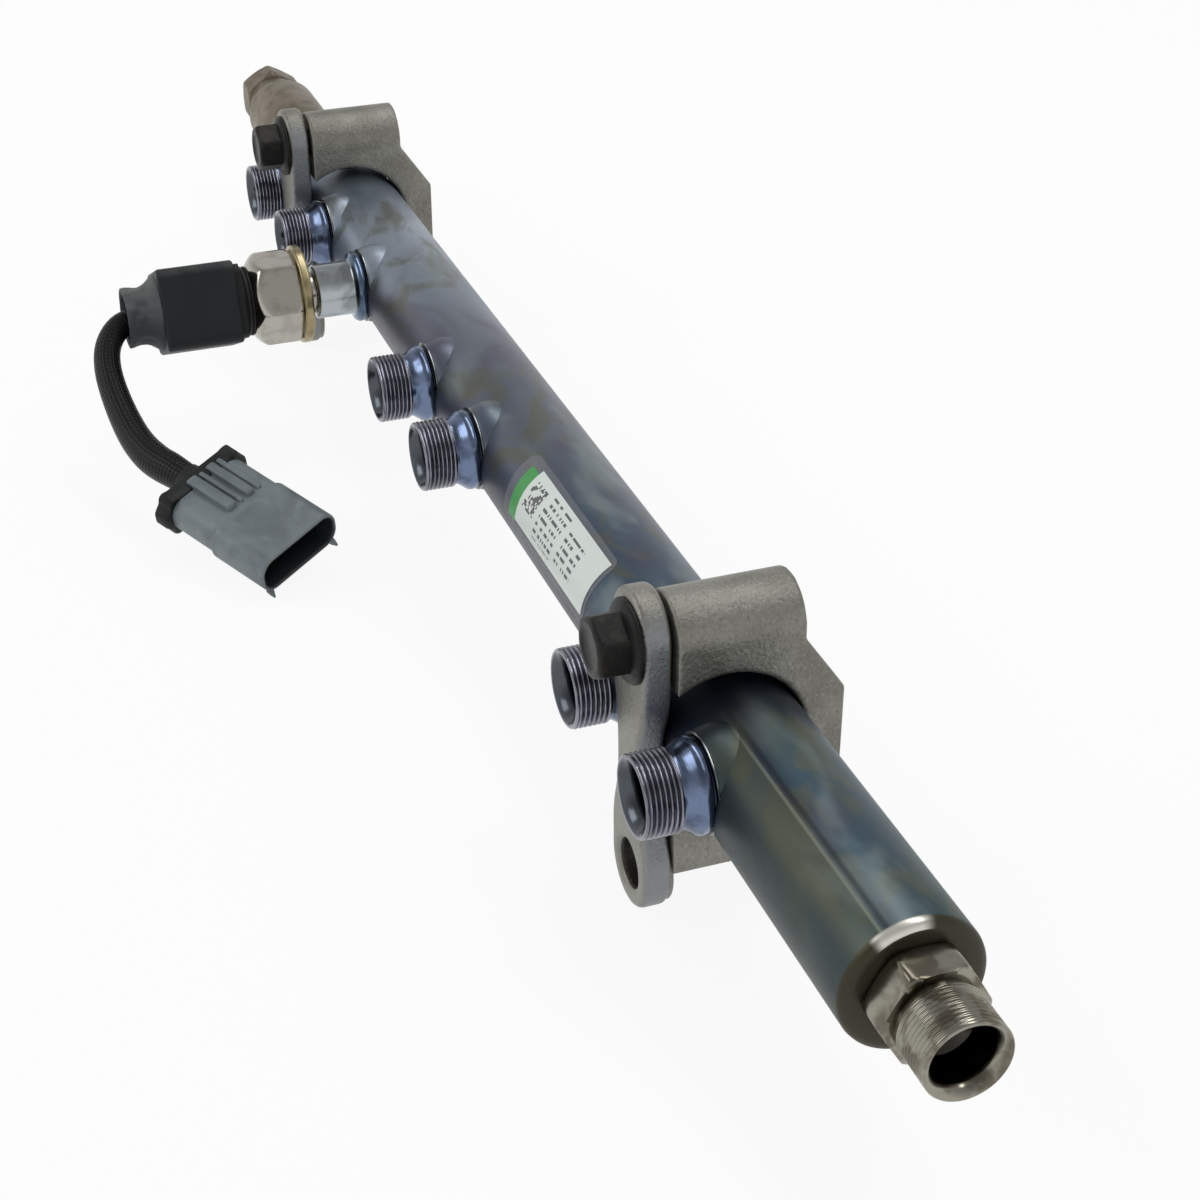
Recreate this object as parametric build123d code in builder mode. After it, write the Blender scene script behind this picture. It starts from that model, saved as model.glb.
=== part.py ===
# Common rail for six injectors, with two clamps, a pressure sensor on a short cable,
# an inlet union and a pressure relief valve.
# The rail axis is X, the branches point along -Y, +Z is up.
# The origin is on the rail axis, half way between the two middle branches.
from build123d import *
import math
import os

os.makedirs("parts", exist_ok=True)

# rail tube
RAIL_R = 15.0
RAIL_BORE_R = 5.0
RAIL_NEAR_END = 247.0
RAIL_FAR_END = -228.0
RAIL_END_ROUND = 2.0

# branches: three pairs, mirrored about the origin
BRANCH_X = (21.0, 136.0, 178.0)
BRANCH_Z = 2.0
BRANCH_MOUTH = 28.9
THREAD_R = 9.0
THREAD_CHAMFER = 0.9
THREAD_START = 19.2
COLLAR_R = 10.6
COLLAR_FRONT = 17.7
BRANCH_BORE_R = 6.3
BRANCH_MOUTH_CHAMFER = 0.9
BRANCH_BORE_DEPTH = 8.5
CONE_HALF_ANGLE = 30.0
CROSS_DRILL_R = 1.5
SPIGOT_R = 5.5
SPIGOT_DEPTH = 4.0
WELD_GAP = 0.03

# branch of the sensor
SENSOR_X = -92.0
SENSOR_BRANCH_R = 8.0
SENSOR_BRANCH_NECK = 17.8
SENSOR_COLLAR_FRONT = 16.0
SENSOR_THREAD_R = 6.0
THREAD_FIT = 0.04

# pressure sensor, along -Y from the mouth of its branch
SENSOR_SEAT_GAP = 2.9
SHANK_TIP = 20.0
SHANK_NECK_R = 5.3
SEAL_RING_R = 14.4
SEAL_RING_T = 2.8
SENSOR_HEX_AF = 24.0
SENSOR_HEX_H = 14.0
SHOULDER_H = 4.2
SENSOR_TOP_R = 10.4
HEAD_R = 7.6
HEAD_SOCKET_DEPTH = 3.0
HEAD_LENGTH = 16.0
HEAD_FIT = 0.1
CONTACT_R = 0.8
CONTACT_CIRCLE_R = 3.6
CONTACT_LENGTH = 5.0

# plug of the sensor
PLUG_SEAL_R = 10.2
PLUG_SEAL_H = 4.4
PLUG_RIB_DEPTH = 0.7
PLUG_RIB_PITCH = 1.3
PLUG_LIP_H = 1.6
PLUG_SIDE = 24.0
PLUG_CORNER_R = 3.0
PLUG_LENGTH = 22.4
PLUG_TURN = 26.0
PLUG_ROUND = 1.0

# boot and cable
BOOT_LENGTH = 9.6
BOOT_BASE_R = 11.4
BOOT_WAIST_R = 8.3
BOOT_MOUTH_R = 8.9
BOOT_WALL = 1.5
BOOT_FLOOR = 2.6
CABLE_R = 4.1

# connector on the cable: its back centre, its direction and its top
CONNECTOR_BACK = Vector(-38.07, -79.63, -25.07)
CONNECTOR_DIR = Vector(0.837, 0.5166, -0.1802)
CONNECTOR_UP = Vector(0.285, -0.13, 0.953)
HOUSING_L = 44.0
HOUSING_W = 28.0
HOUSING_H = 11.6
HOUSING_CORNER_R = 4.6
HOUSING_WALL = 1.4
SOCKET_DEPTH = 17.0
SEAL_POCKET_W = 20.0
SEAL_POCKET_H = 7.6
SEAL_POCKET_DEPTH = 7.0
SEAL_FIT = 0.05
PIN_R = 0.8
PIN_PITCH = 6.2
PIN_FREE = 10.5
PIN_FIT = 0.04
RIB_H = 1.3
RIB_START = 4.0
RIB_L = 18.5
RIB_W = 3.0
RIB_PITCH = 6.4
LIP_TAB = 1.2
RETAINER_T = 2.2
RETAINER_ARM_L = 10.5
RETAINER_ARM_T = 1.7
RETAINER_ARM_H = 7.0
RETAINER_FIT = 0.2

# inlet union in the near end
UNION_COLLAR_R = 11.5
UNION_COLLAR_T = 1.0
UNION_HEX_AF = 22.0
UNION_HEX_L = 8.0
UNION_THREAD_L = 11.5
UNION_SHANK_R = 8.0
UNION_SHANK_L = 14.0
UNION_BORE_R = 6.3
UNION_BORE_DEPTH = 9.5
UNION_DRILL_R = 3.0

# relief valve in the far end
VALVE_BODY_R = 12.0
VALVE_BODY_L = 36.0
VALVE_ROUND = 2.5
VALVE_SHANK_R = 8.0
VALVE_SHANK_L = 15.0
VALVE_CAVITY_R = 5.6
VALVE_CAVITY_L = 30.0
VALVE_CAP_GAP = 2.0
VALVE_NECK_R = 9.4
VALVE_HEX_AF = 20.0
VALVE_HEX_L = 21.0
VALVE_CAP_SHANK_L = 10.0
VALVE_CAP_ROUND = 2.5
SEAT_L = 5.0
SEAT_HOLE_R = 1.2
PLUNGER_L = 11.0
PLUNGER_CONE_L = 3.0
SLIDE_FIT = 0.1
SHIM_T = 1.0
SPRING_WIRE_R = 0.7
SPRING_COILS = 3.5
VALVE_DRILL_R = 3.0

# clamps
CLAMP_X = 156.3
CLAMP_SIDES = (("far", -CLAMP_X), ("near", CLAMP_X))
UPPER_HOLE_Z = 24.8
LOWER_HOLE_Z = -32.4
UPPER_BOSS_R = 9.6
LOWER_BOSS_R = 7.8
BOSS_FRONT = 14.2
UPPER_BOSS_BACK = 14.0
BLOCK_BACK = 23.7
BLOCK_HALF_W = 11.0
BLOCK_SHOULDER_Z = 20.6
BLOCK_BACK_TOP = 9.5
BLOCK_FRONT = 12.0
CRADLE_R = 18.2
CAST_ROUND = 1.2
MOUNT_HOLE_R = 4.6
MOUNT_HOLE_CHAMFER = 0.5
STRAP_T = 5.8
STRAP_UPPER_R = 10.3
STRAP_UPPER_SHIFT = -1.0
STRAP_UPPER_Z = 25.4
STRAP_LOWER_R = 10.3
STRAP_WAIST_LEFT = -8.1
STRAP_WAIST_RIGHT = 4.4
STRAP_WAIST_TOP = 6.0
STRAP_WAIST_LOW = -14.0
STRAP_CORNER_R = 2.0
STRAP_EDGE = 0.6

# clamp bolts
BOLT_R = 4.0
BOLT_FIT = 0.05
BOLT_CLEARANCE = 0.5
BOLT_FLANGE_R = 9.0
BOLT_FLANGE_T = 1.6
BOLT_HEX_AF = 13.0
BOLT_HEAD_H = 8.0
BOLT_GRIP = 20.0
BOLT_HOLE_DEPTH = 24.0

# label
LABEL_START = 50.8
LABEL_END = 109.4
LABEL_LOW_ANGLE = -3.0
LABEL_HIGH_ANGLE = 67.0
LABEL_T = 0.15
LABEL_GLUE = 0.02
LABEL_CORNER_R = 3.0


def keep(builder, name):
    builder.part.label = name
    export_step(builder.part, f"parts/{name}.step")
    print(name, round(builder.part.volume, 1))


def branch_axis(x):
    return Axis((x, 0, BRANCH_Z), (0, -1, 0))


connector = Plane(origin=CONNECTOR_BACK, x_dir=CONNECTOR_DIR, z_dir=CONNECTOR_UP)


def across(distance):
    return Plane(
        origin=connector.from_local_coords((distance, 0, 0)),
        x_dir=connector.y_dir,
        z_dir=connector.x_dir,
    )


def branch_plane(x, y, turn=0):
    x_dir = (math.cos(math.radians(turn)), 0, math.sin(math.radians(turn)))
    return Plane(origin=(x, y, BRANCH_Z), x_dir=x_dir, z_dir=(0, -1, 0))


branches = sorted([-x for x in BRANCH_X] + list(BRANCH_X))
strap_back = -RAIL_R
sensor_seat = -BRANCH_MOUTH - SENSOR_SEAT_GAP
hex_face = sensor_seat - SEAL_RING_T
sensor_top = hex_face - SENSOR_HEX_H
plug_front = sensor_top - PLUG_SEAL_H
plug_back = plug_front - PLUG_LENGTH
boot_mouth = plug_back - BOOT_LENGTH
cable_start = plug_back - BOOT_FLOOR
cradle_centre = RAIL_R - CRADLE_R
cone_depth = (BRANCH_BORE_R - CROSS_DRILL_R) / math.tan(math.radians(CONE_HALF_ANGLE))

# rail tube: outside, bore, end sockets, a pocket and a cross drilling for each branch
with BuildPart() as rail_tube:
    with BuildSketch(Plane.YZ.offset(RAIL_FAR_END)):
        Circle(RAIL_R)
    extrude(amount=RAIL_NEAR_END - RAIL_FAR_END)
    fillet(rail_tube.edges().filter_by(GeomType.CIRCLE), radius=RAIL_END_ROUND)
    with BuildSketch(Plane.YZ.offset(RAIL_FAR_END)):
        Circle(RAIL_BORE_R)
    extrude(amount=RAIL_NEAR_END - RAIL_FAR_END, mode=Mode.SUBTRACT)
    with BuildSketch(Plane.YZ.offset(RAIL_NEAR_END)):
        Circle(UNION_SHANK_R + THREAD_FIT)
    extrude(amount=-UNION_SHANK_L, mode=Mode.SUBTRACT)
    with BuildSketch(Plane.YZ.offset(RAIL_FAR_END)):
        Circle(VALVE_SHANK_R + THREAD_FIT)
    extrude(amount=VALVE_SHANK_L, mode=Mode.SUBTRACT)
    for x in branches + [SENSOR_X]:
        with BuildSketch(branch_plane(x, -RAIL_R + SPIGOT_DEPTH)):
            Circle(SPIGOT_R + WELD_GAP)
        extrude(amount=SPIGOT_DEPTH, mode=Mode.SUBTRACT)
        with BuildSketch(branch_plane(x, 0)):
            Circle(CROSS_DRILL_R)
        extrude(amount=RAIL_R - SPIGOT_DEPTH, mode=Mode.SUBTRACT)
keep(rail_tube, "rail_tube")

# injector branches: saddle foot on the rail, collar, thread, cone seat
for number, x in enumerate(branches, start=1):
    with BuildPart() as injector_port:
        with BuildSketch(Plane.XY.offset(BRANCH_Z)):
            with BuildLine():
                Polyline(
                    (x, -BRANCH_MOUTH),
                    (x + THREAD_R - THREAD_CHAMFER, -BRANCH_MOUTH),
                    (x + THREAD_R, -BRANCH_MOUTH + THREAD_CHAMFER),
                    (x + THREAD_R, -THREAD_START),
                    (x + COLLAR_R, -COLLAR_FRONT),
                    (x + COLLAR_R, 0),
                    (x, 0),
                    close=True,
                )
            make_face()
        revolve(axis=branch_axis(x))
        with BuildSketch(Plane.YZ.offset(x - 2 * COLLAR_R)):
            Circle(RAIL_R)
        extrude(amount=4 * COLLAR_R, mode=Mode.SUBTRACT)
        with BuildSketch(branch_plane(x, -RAIL_R + SPIGOT_DEPTH)):
            Circle(SPIGOT_R)
        extrude(amount=SPIGOT_DEPTH)
        with BuildSketch(Plane.XY.offset(BRANCH_Z)):
            with BuildLine():
                Polyline(
                    (x, -BRANCH_MOUTH),
                    (x + BRANCH_BORE_R + BRANCH_MOUTH_CHAMFER, -BRANCH_MOUTH),
                    (x + BRANCH_BORE_R, -BRANCH_MOUTH + BRANCH_MOUTH_CHAMFER),
                    (x + BRANCH_BORE_R, -BRANCH_MOUTH + BRANCH_BORE_DEPTH),
                    (x + CROSS_DRILL_R, -BRANCH_MOUTH + BRANCH_BORE_DEPTH + cone_depth),
                    (x + CROSS_DRILL_R, -RAIL_R + SPIGOT_DEPTH),
                    (x, -RAIL_R + SPIGOT_DEPTH),
                    close=True,
                )
            make_face()
        revolve(axis=branch_axis(x), mode=Mode.SUBTRACT)
    keep(injector_port, f"injector_port_{number}")

# sensor branch: plain boss, threaded inside
with BuildPart() as sensor_port:
    with BuildSketch(Plane.XY.offset(BRANCH_Z)):
        with BuildLine():
            Polyline(
                (SENSOR_X, -BRANCH_MOUTH),
                (SENSOR_X + SENSOR_BRANCH_R - CAST_ROUND / 2, -BRANCH_MOUTH),
                (SENSOR_X + SENSOR_BRANCH_R, -BRANCH_MOUTH + CAST_ROUND / 2),
                (SENSOR_X + SENSOR_BRANCH_R, -SENSOR_BRANCH_NECK),
                (SENSOR_X + COLLAR_R, -SENSOR_COLLAR_FRONT),
                (SENSOR_X + COLLAR_R, 0),
                (SENSOR_X, 0),
                close=True,
            )
        make_face()
    revolve(axis=branch_axis(SENSOR_X))
    with BuildSketch(Plane.YZ.offset(SENSOR_X - 2 * COLLAR_R)):
        Circle(RAIL_R)
    extrude(amount=4 * COLLAR_R, mode=Mode.SUBTRACT)
    with BuildSketch(branch_plane(SENSOR_X, -RAIL_R + SPIGOT_DEPTH)):
        Circle(SPIGOT_R)
    extrude(amount=SPIGOT_DEPTH)
    with BuildSketch(branch_plane(SENSOR_X, -SHANK_TIP)):
        Circle(SENSOR_THREAD_R)
    extrude(amount=BRANCH_MOUTH, mode=Mode.SUBTRACT)
    with BuildSketch(branch_plane(SENSOR_X, 0)):
        Circle(CROSS_DRILL_R)
    extrude(amount=BRANCH_MOUTH, mode=Mode.SUBTRACT)
keep(sensor_port, "sensor_port")

# sensor body: hexagon with a domed shoulder, relieved neck and threaded shank
with BuildPart() as sensor_body:
    with BuildSketch(branch_plane(SENSOR_X, hex_face)):
        RegularPolygon(radius=SENSOR_HEX_AF / 2, side_count=6, major_radius=False)
    extrude(amount=SENSOR_HEX_H)
    with BuildSketch(Plane.XY.offset(BRANCH_Z)):
        with BuildLine():
            Polyline(
                (SENSOR_X, sensor_top),
                (SENSOR_X + SENSOR_TOP_R, sensor_top),
            )
            ThreePointArc(
                (SENSOR_X + SENSOR_TOP_R, sensor_top),
                (SENSOR_X + SENSOR_TOP_R + 0.64 * (SEAL_RING_R - 0.5 - SENSOR_TOP_R), sensor_top + 0.55 * SHOULDER_H),
                (SENSOR_X + SEAL_RING_R - 0.5, sensor_top + SHOULDER_H),
            )
            Polyline(
                (SENSOR_X + SEAL_RING_R - 0.5, sensor_top + SHOULDER_H),
                (SENSOR_X + SEAL_RING_R - 0.5, hex_face - 0.8),
                (SENSOR_X + SENSOR_HEX_AF / 2, hex_face),
                (SENSOR_X, hex_face),
                (SENSOR_X, sensor_top),
            )
        make_face()
    revolve(axis=branch_axis(SENSOR_X), mode=Mode.INTERSECT)
    with BuildSketch(Plane.XY.offset(BRANCH_Z)):
        with BuildLine():
            Polyline(
                (SENSOR_X, hex_face),
                (SENSOR_X + SHANK_NECK_R, hex_face),
                (SENSOR_X + SHANK_NECK_R, -BRANCH_MOUTH - 0.6),
                (SENSOR_X + SENSOR_THREAD_R - THREAD_FIT, -BRANCH_MOUTH + 0.2),
                (SENSOR_X + SENSOR_THREAD_R - THREAD_FIT, -SHANK_TIP - 1.0),
                (SENSOR_X + SHANK_NECK_R, -SHANK_TIP),
                (SENSOR_X, -SHANK_TIP),
                close=True,
            )
        make_face()
    revolve(axis=branch_axis(SENSOR_X))
    with BuildSketch(branch_plane(SENSOR_X, sensor_top + HEAD_SOCKET_DEPTH)):
        Circle(HEAD_R)
    extrude(amount=HEAD_SOCKET_DEPTH, mode=Mode.SUBTRACT)
    with BuildSketch(branch_plane(SENSOR_X, -SHANK_TIP)):
        Circle(CROSS_DRILL_R)
    extrude(amount=BRANCH_MOUTH - SHANK_TIP + SENSOR_SEAT_GAP, mode=Mode.SUBTRACT)
keep(sensor_body, "sensor_body")

with BuildPart() as sensor_seal_ring:
    with BuildSketch(branch_plane(SENSOR_X, sensor_seat)):
        Circle(SEAL_RING_R)
        Circle(SHANK_NECK_R + HEAD_FIT, mode=Mode.SUBTRACT)
    extrude(amount=SEAL_RING_T)
    fillet(sensor_seal_ring.edges().filter_by(GeomType.CIRCLE).sort_by(SortBy.RADIUS)[-2:], radius=0.7)
keep(sensor_seal_ring, "sensor_seal_ring")

head_end = sensor_top + HEAD_SOCKET_DEPTH - HEAD_LENGTH
with BuildPart() as sensor_head:
    with BuildSketch(branch_plane(SENSOR_X, sensor_top + HEAD_SOCKET_DEPTH)):
        Circle(HEAD_R)
    extrude(amount=HEAD_LENGTH)
    with BuildSketch(branch_plane(SENSOR_X, head_end)):
        Circle(HEAD_R - BOOT_WALL)
    extrude(amount=-CONTACT_LENGTH, mode=Mode.SUBTRACT)
    with BuildSketch(branch_plane(SENSOR_X, head_end + 2 * CONTACT_LENGTH)):
        with PolarLocations(CONTACT_CIRCLE_R, 3):
            Circle(CONTACT_R + PIN_FIT)
    extrude(amount=CONTACT_LENGTH, mode=Mode.SUBTRACT)
keep(sensor_head, "sensor_head")

with BuildPart() as sensor_contacts:
    with BuildSketch(branch_plane(SENSOR_X, head_end + 2 * CONTACT_LENGTH)):
        with PolarLocations(CONTACT_CIRCLE_R, 3):
            Circle(CONTACT_R)
    extrude(amount=2 * CONTACT_LENGTH - 1.0)
keep(sensor_contacts, "sensor_contacts")

# ribbed neck between sensor and plug, with a square lip at the plug
with BuildPart() as plug_seal:
    with BuildSketch(branch_plane(SENSOR_X, sensor_top)):
        Circle(PLUG_SEAL_R)
    extrude(amount=PLUG_SEAL_H - PLUG_LIP_H)
    with BuildSketch(branch_plane(SENSOR_X, plug_front + PLUG_LIP_H, PLUG_TURN)):
        RectangleRounded(PLUG_SIDE - 2.4, PLUG_SIDE - 2.4, PLUG_CORNER_R)
    extrude(amount=PLUG_LIP_H)
    for rib in range(2):
        with BuildSketch(branch_plane(SENSOR_X, sensor_top - 0.4 - rib * PLUG_RIB_PITCH)):
            Circle(PLUG_SEAL_R)
            Circle(PLUG_SEAL_R - PLUG_RIB_DEPTH, mode=Mode.SUBTRACT)
        extrude(amount=PLUG_RIB_PITCH / 2, mode=Mode.SUBTRACT)
    with BuildSketch(branch_plane(SENSOR_X, sensor_top)):
        Circle(HEAD_R + HEAD_FIT)
    extrude(amount=PLUG_SEAL_H, mode=Mode.SUBTRACT)
keep(plug_seal, "plug_seal")

with BuildPart() as plug_housing:
    with BuildSketch(branch_plane(SENSOR_X, plug_front, PLUG_TURN)):
        RectangleRounded(PLUG_SIDE, PLUG_SIDE, PLUG_CORNER_R)
    extrude(amount=PLUG_LENGTH)
    rims = plug_housing.edges().group_by(Axis.Y)
    fillet(rims[0] + rims[-1], radius=PLUG_ROUND)
    with BuildSketch(branch_plane(SENSOR_X, plug_front)):
        Circle(HEAD_R + HEAD_FIT)
    extrude(amount=plug_front - head_end + 0.3, mode=Mode.SUBTRACT)
keep(plug_housing, "plug_housing")

# boot: waisted sleeve, hollow at the mouth so that the cable can turn in it
with BuildPart() as cable_boot:
    with BuildSketch(Plane.XY.offset(BRANCH_Z)):
        with BuildLine():
            Line((SENSOR_X, plug_back), (SENSOR_X + BOOT_BASE_R, plug_back))
            Spline(
                (SENSOR_X + BOOT_BASE_R, plug_back),
                (SENSOR_X + BOOT_WAIST_R, plug_back - 0.55 * BOOT_LENGTH),
                (SENSOR_X + BOOT_MOUTH_R, boot_mouth),
                tangents=[(-0.5, -1), (0.25, -1)],
            )
            Polyline(
                (SENSOR_X + BOOT_MOUTH_R, boot_mouth),
                (SENSOR_X + BOOT_MOUTH_R - BOOT_WALL, boot_mouth),
                (SENSOR_X + BOOT_WAIST_R - BOOT_WALL, cable_start),
                (SENSOR_X, cable_start),
                (SENSOR_X, plug_back),
            )
        make_face()
    revolve(axis=branch_axis(SENSOR_X))
keep(cable_boot, "cable_boot")

# cable: leaves the boot, turns down at once and runs to the back of the connector
route = [
    (SENSOR_X, cable_start, 1.2),
    (SENSOR_X, cable_start - 5.4, 1.2),
    (SENSOR_X + 1.4, cable_start - 10.1, -0.5),
    (-87.1, -91.7, -4.4),
    (-81.7, -92.8, -9.2),
    (-74.8, -92.3, -14.0),
    (-66.1, -91.1, -18.4),
    (-57.3, -89.4, -21.5),
    (-49.1, -86.4, -23.4),
    connector.from_local_coords((-5.4, 0, 0)),
    connector.from_local_coords((0, 0, 0)),
]
corners = [Vector(*p) for p in route]
radii = []
for before, here, after in zip(corners, corners[1:], corners[2:]):
    turn = math.radians((here - before).get_angle(after - here))
    radii.append(0.45 * min((here - before).length, (after - here).length) / math.tan(turn / 2))
with BuildPart() as sensor_cable:
    with BuildLine() as cable_path:
        FilletPolyline(*route, radius=radii)
    with BuildSketch(Plane(origin=route[0], x_dir=(1, 0, 0), z_dir=(0, -1, 0))):
        Circle(CABLE_R)
    sweep(path=cable_path.wires()[0])
cable_length = cable_path.wires()[0].length
print("cable radii", [round(r, 1) for r in radii])
print("cable length", round(cable_length, 2), "tube check", round(math.pi * CABLE_R**2 * cable_length, 1))
keep(sensor_cable, "sensor_cable")

# connector: flat moulded shell with an open socket, ribs on top and two lip tabs
with BuildPart() as connector_housing:
    with BuildSketch(across(0)):
        RectangleRounded(HOUSING_W, HOUSING_H, HOUSING_CORNER_R)
    extrude(amount=HOUSING_L)
    top = connector.offset(HOUSING_H / 2)
    with BuildSketch(top):
        with Locations((RIB_START + RIB_L / 2, 0)):
            with GridLocations(RIB_PITCH, RIB_PITCH, 1, 3):
                SlotOverall(RIB_L, RIB_W)
    extrude(amount=RIB_H)
    with BuildSketch(across(HOUSING_L)):
        with Locations((0, -HOUSING_H / 2 + HOUSING_WALL / 2)):
            with GridLocations(HOUSING_W - 2 * HOUSING_CORNER_R, 1, 2, 1):
                Rectangle(1.6, HOUSING_WALL)
    extrude(amount=LIP_TAB)
    with BuildSketch(across(HOUSING_L)):
        RectangleRounded(
            HOUSING_W - 2 * HOUSING_WALL, HOUSING_H - 2 * HOUSING_WALL, HOUSING_CORNER_R - HOUSING_WALL
        )
    extrude(amount=-SOCKET_DEPTH, mode=Mode.SUBTRACT)
    with BuildSketch(across(0)):
        RectangleRounded(SEAL_POCKET_W, SEAL_POCKET_H, SEAL_POCKET_H / 2 - 0.1)
    extrude(amount=SEAL_POCKET_DEPTH, mode=Mode.SUBTRACT)
    with BuildSketch(across(0)):
        with GridLocations(PIN_PITCH, 1, 3, 1):
            Circle(PIN_R + PIN_FIT)
    extrude(amount=HOUSING_L, mode=Mode.SUBTRACT)
keep(connector_housing, "connector_housing")

with BuildPart() as connector_wire_seal:
    with BuildSketch(across(0)):
        RectangleRounded(
            SEAL_POCKET_W - 2 * SEAL_FIT, SEAL_POCKET_H - 2 * SEAL_FIT, SEAL_POCKET_H / 2 - 0.1 - SEAL_FIT
        )
    extrude(amount=SEAL_POCKET_DEPTH)
keep(connector_wire_seal, "connector_wire_seal")

with BuildPart() as connector_pins:
    with BuildSketch(across(SEAL_POCKET_DEPTH)):
        with GridLocations(PIN_PITCH, 1, 3, 1):
            Circle(PIN_R)
    extrude(amount=HOUSING_L - SOCKET_DEPTH + PIN_FREE - SEAL_POCKET_DEPTH)
keep(connector_pins, "connector_pins")

# retainer: back plate with a hole for the cable and an arm along each side
with BuildPart() as connector_retainer:
    with BuildSketch(across(0)):
        RectangleRounded(HOUSING_W + 2 * RETAINER_ARM_T, HOUSING_H - 1.0, HOUSING_CORNER_R)
        Circle(CABLE_R + RETAINER_FIT, mode=Mode.SUBTRACT)
    extrude(amount=-RETAINER_T)
    with BuildSketch(across(0)):
        with GridLocations(HOUSING_W + RETAINER_ARM_T, 1, 2, 1):
            RectangleRounded(RETAINER_ARM_T, RETAINER_ARM_H, RETAINER_ARM_T / 2 - 0.1)
    extrude(amount=RETAINER_ARM_L)
    with BuildSketch(across(0)):
        RectangleRounded(HOUSING_W, HOUSING_H, HOUSING_CORNER_R)
    extrude(amount=HOUSING_L, mode=Mode.SUBTRACT)
keep(connector_retainer, "connector_retainer")

# inlet union
union_face = RAIL_NEAR_END + UNION_COLLAR_T
union_hex_end = union_face + UNION_HEX_L
union_mouth = union_hex_end + UNION_THREAD_L
hex_corner = UNION_HEX_AF / math.sqrt(3)
with BuildPart() as inlet_fitting:
    with BuildSketch(Plane.YZ.offset(union_face)):
        RegularPolygon(radius=UNION_HEX_AF / 2, side_count=6, major_radius=False, rotation=0)
    extrude(amount=UNION_HEX_L)
    with BuildSketch(Plane.XY):
        with BuildLine():
            Polyline(
                (union_face, 0),
                (union_face, UNION_HEX_AF / 2),
                (union_face + 0.9, hex_corner),
                (union_hex_end - 0.9, hex_corner),
                (union_hex_end, UNION_HEX_AF / 2 - 0.2),
                (union_hex_end, 0),
                close=True,
            )
        make_face()
    revolve(axis=Axis.X, mode=Mode.INTERSECT)
    with BuildSketch(Plane.XY):
        with BuildLine():
            Polyline(
                (RAIL_NEAR_END - UNION_SHANK_L, 0),
                (RAIL_NEAR_END - UNION_SHANK_L, UNION_SHANK_R),
                (RAIL_NEAR_END, UNION_SHANK_R),
                (RAIL_NEAR_END, UNION_COLLAR_R),
                (union_face, UNION_COLLAR_R),
                (union_face, THREAD_R - THREAD_CHAMFER),
                (union_hex_end + 0.8, THREAD_R - THREAD_CHAMFER),
                (union_hex_end + 0.8 + THREAD_CHAMFER, THREAD_R),
                (union_mouth - THREAD_CHAMFER, THREAD_R),
                (union_mouth, THREAD_R - THREAD_CHAMFER),
                (union_mouth, 0),
                close=True,
            )
        make_face()
    revolve(axis=Axis.X)
    with BuildSketch(Plane.XY):
        with BuildLine():
            Polyline(
                (union_mouth, 0),
                (union_mouth, UNION_BORE_R + BRANCH_MOUTH_CHAMFER),
                (union_mouth - BRANCH_MOUTH_CHAMFER, UNION_BORE_R),
                (union_mouth - UNION_BORE_DEPTH, UNION_BORE_R),
                (union_mouth - UNION_BORE_DEPTH - UNION_BORE_R + UNION_DRILL_R, UNION_DRILL_R),
                (RAIL_NEAR_END - UNION_SHANK_L, UNION_DRILL_R),
                (RAIL_NEAR_END - UNION_SHANK_L, 0),
                close=True,
            )
        make_face()
    revolve(axis=Axis.X, mode=Mode.SUBTRACT)
keep(inlet_fitting, "inlet_fitting")

# relief valve: body, seat, plunger, spring, shim and hexagon cap
valve_back = RAIL_FAR_END - VALVE_BODY_L
cavity_front = valve_back + VALVE_CAVITY_L
cap_face = valve_back - VALVE_CAP_GAP
cap_end = cap_face - VALVE_HEX_L
with BuildPart() as relief_valve_body:
    with BuildSketch(Plane.XY):
        with BuildLine():
            Polyline(
                (RAIL_FAR_END + VALVE_SHANK_L, 0),
                (RAIL_FAR_END + VALVE_SHANK_L, VALVE_SHANK_R),
                (RAIL_FAR_END, VALVE_SHANK_R),
                (RAIL_FAR_END, VALVE_BODY_R),
                (valve_back + VALVE_ROUND, VALVE_BODY_R),
                (valve_back, VALVE_BODY_R - VALVE_ROUND),
                (valve_back, 0),
                close=True,
            )
        make_face()
    revolve(axis=Axis.X)
    fillet(
        relief_valve_body.edges().filter_by(GeomType.CIRCLE).sort_by(Axis.X)[1], radius=VALVE_ROUND / 2
    )
    with BuildSketch(Plane.YZ.offset(valve_back)):
        Circle(VALVE_CAVITY_R)
    extrude(amount=VALVE_CAVITY_L, mode=Mode.SUBTRACT)
    with BuildSketch(Plane.YZ.offset(valve_back)):
        Circle(VALVE_DRILL_R)
    extrude(amount=VALVE_BODY_L + VALVE_SHANK_L, mode=Mode.SUBTRACT)
keep(relief_valve_body, "relief_valve_body")

with BuildPart() as relief_valve_seat:
    with BuildSketch(Plane.YZ.offset(cavity_front)):
        Circle(VALVE_CAVITY_R - THREAD_FIT)
    extrude(amount=-SEAT_L)
    with BuildSketch(Plane.XY):
        with BuildLine():
            Polyline(
                (cavity_front, 0),
                (cavity_front, SEAT_HOLE_R),
                (cavity_front - SEAT_L + PLUNGER_CONE_L - SEAT_HOLE_R, SEAT_HOLE_R),
                (cavity_front - SEAT_L, PLUNGER_CONE_L),
                (cavity_front - SEAT_L, 0),
                close=True,
            )
        make_face()
    revolve(axis=Axis.X, mode=Mode.SUBTRACT)
keep(relief_valve_seat, "relief_valve_seat")

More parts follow.
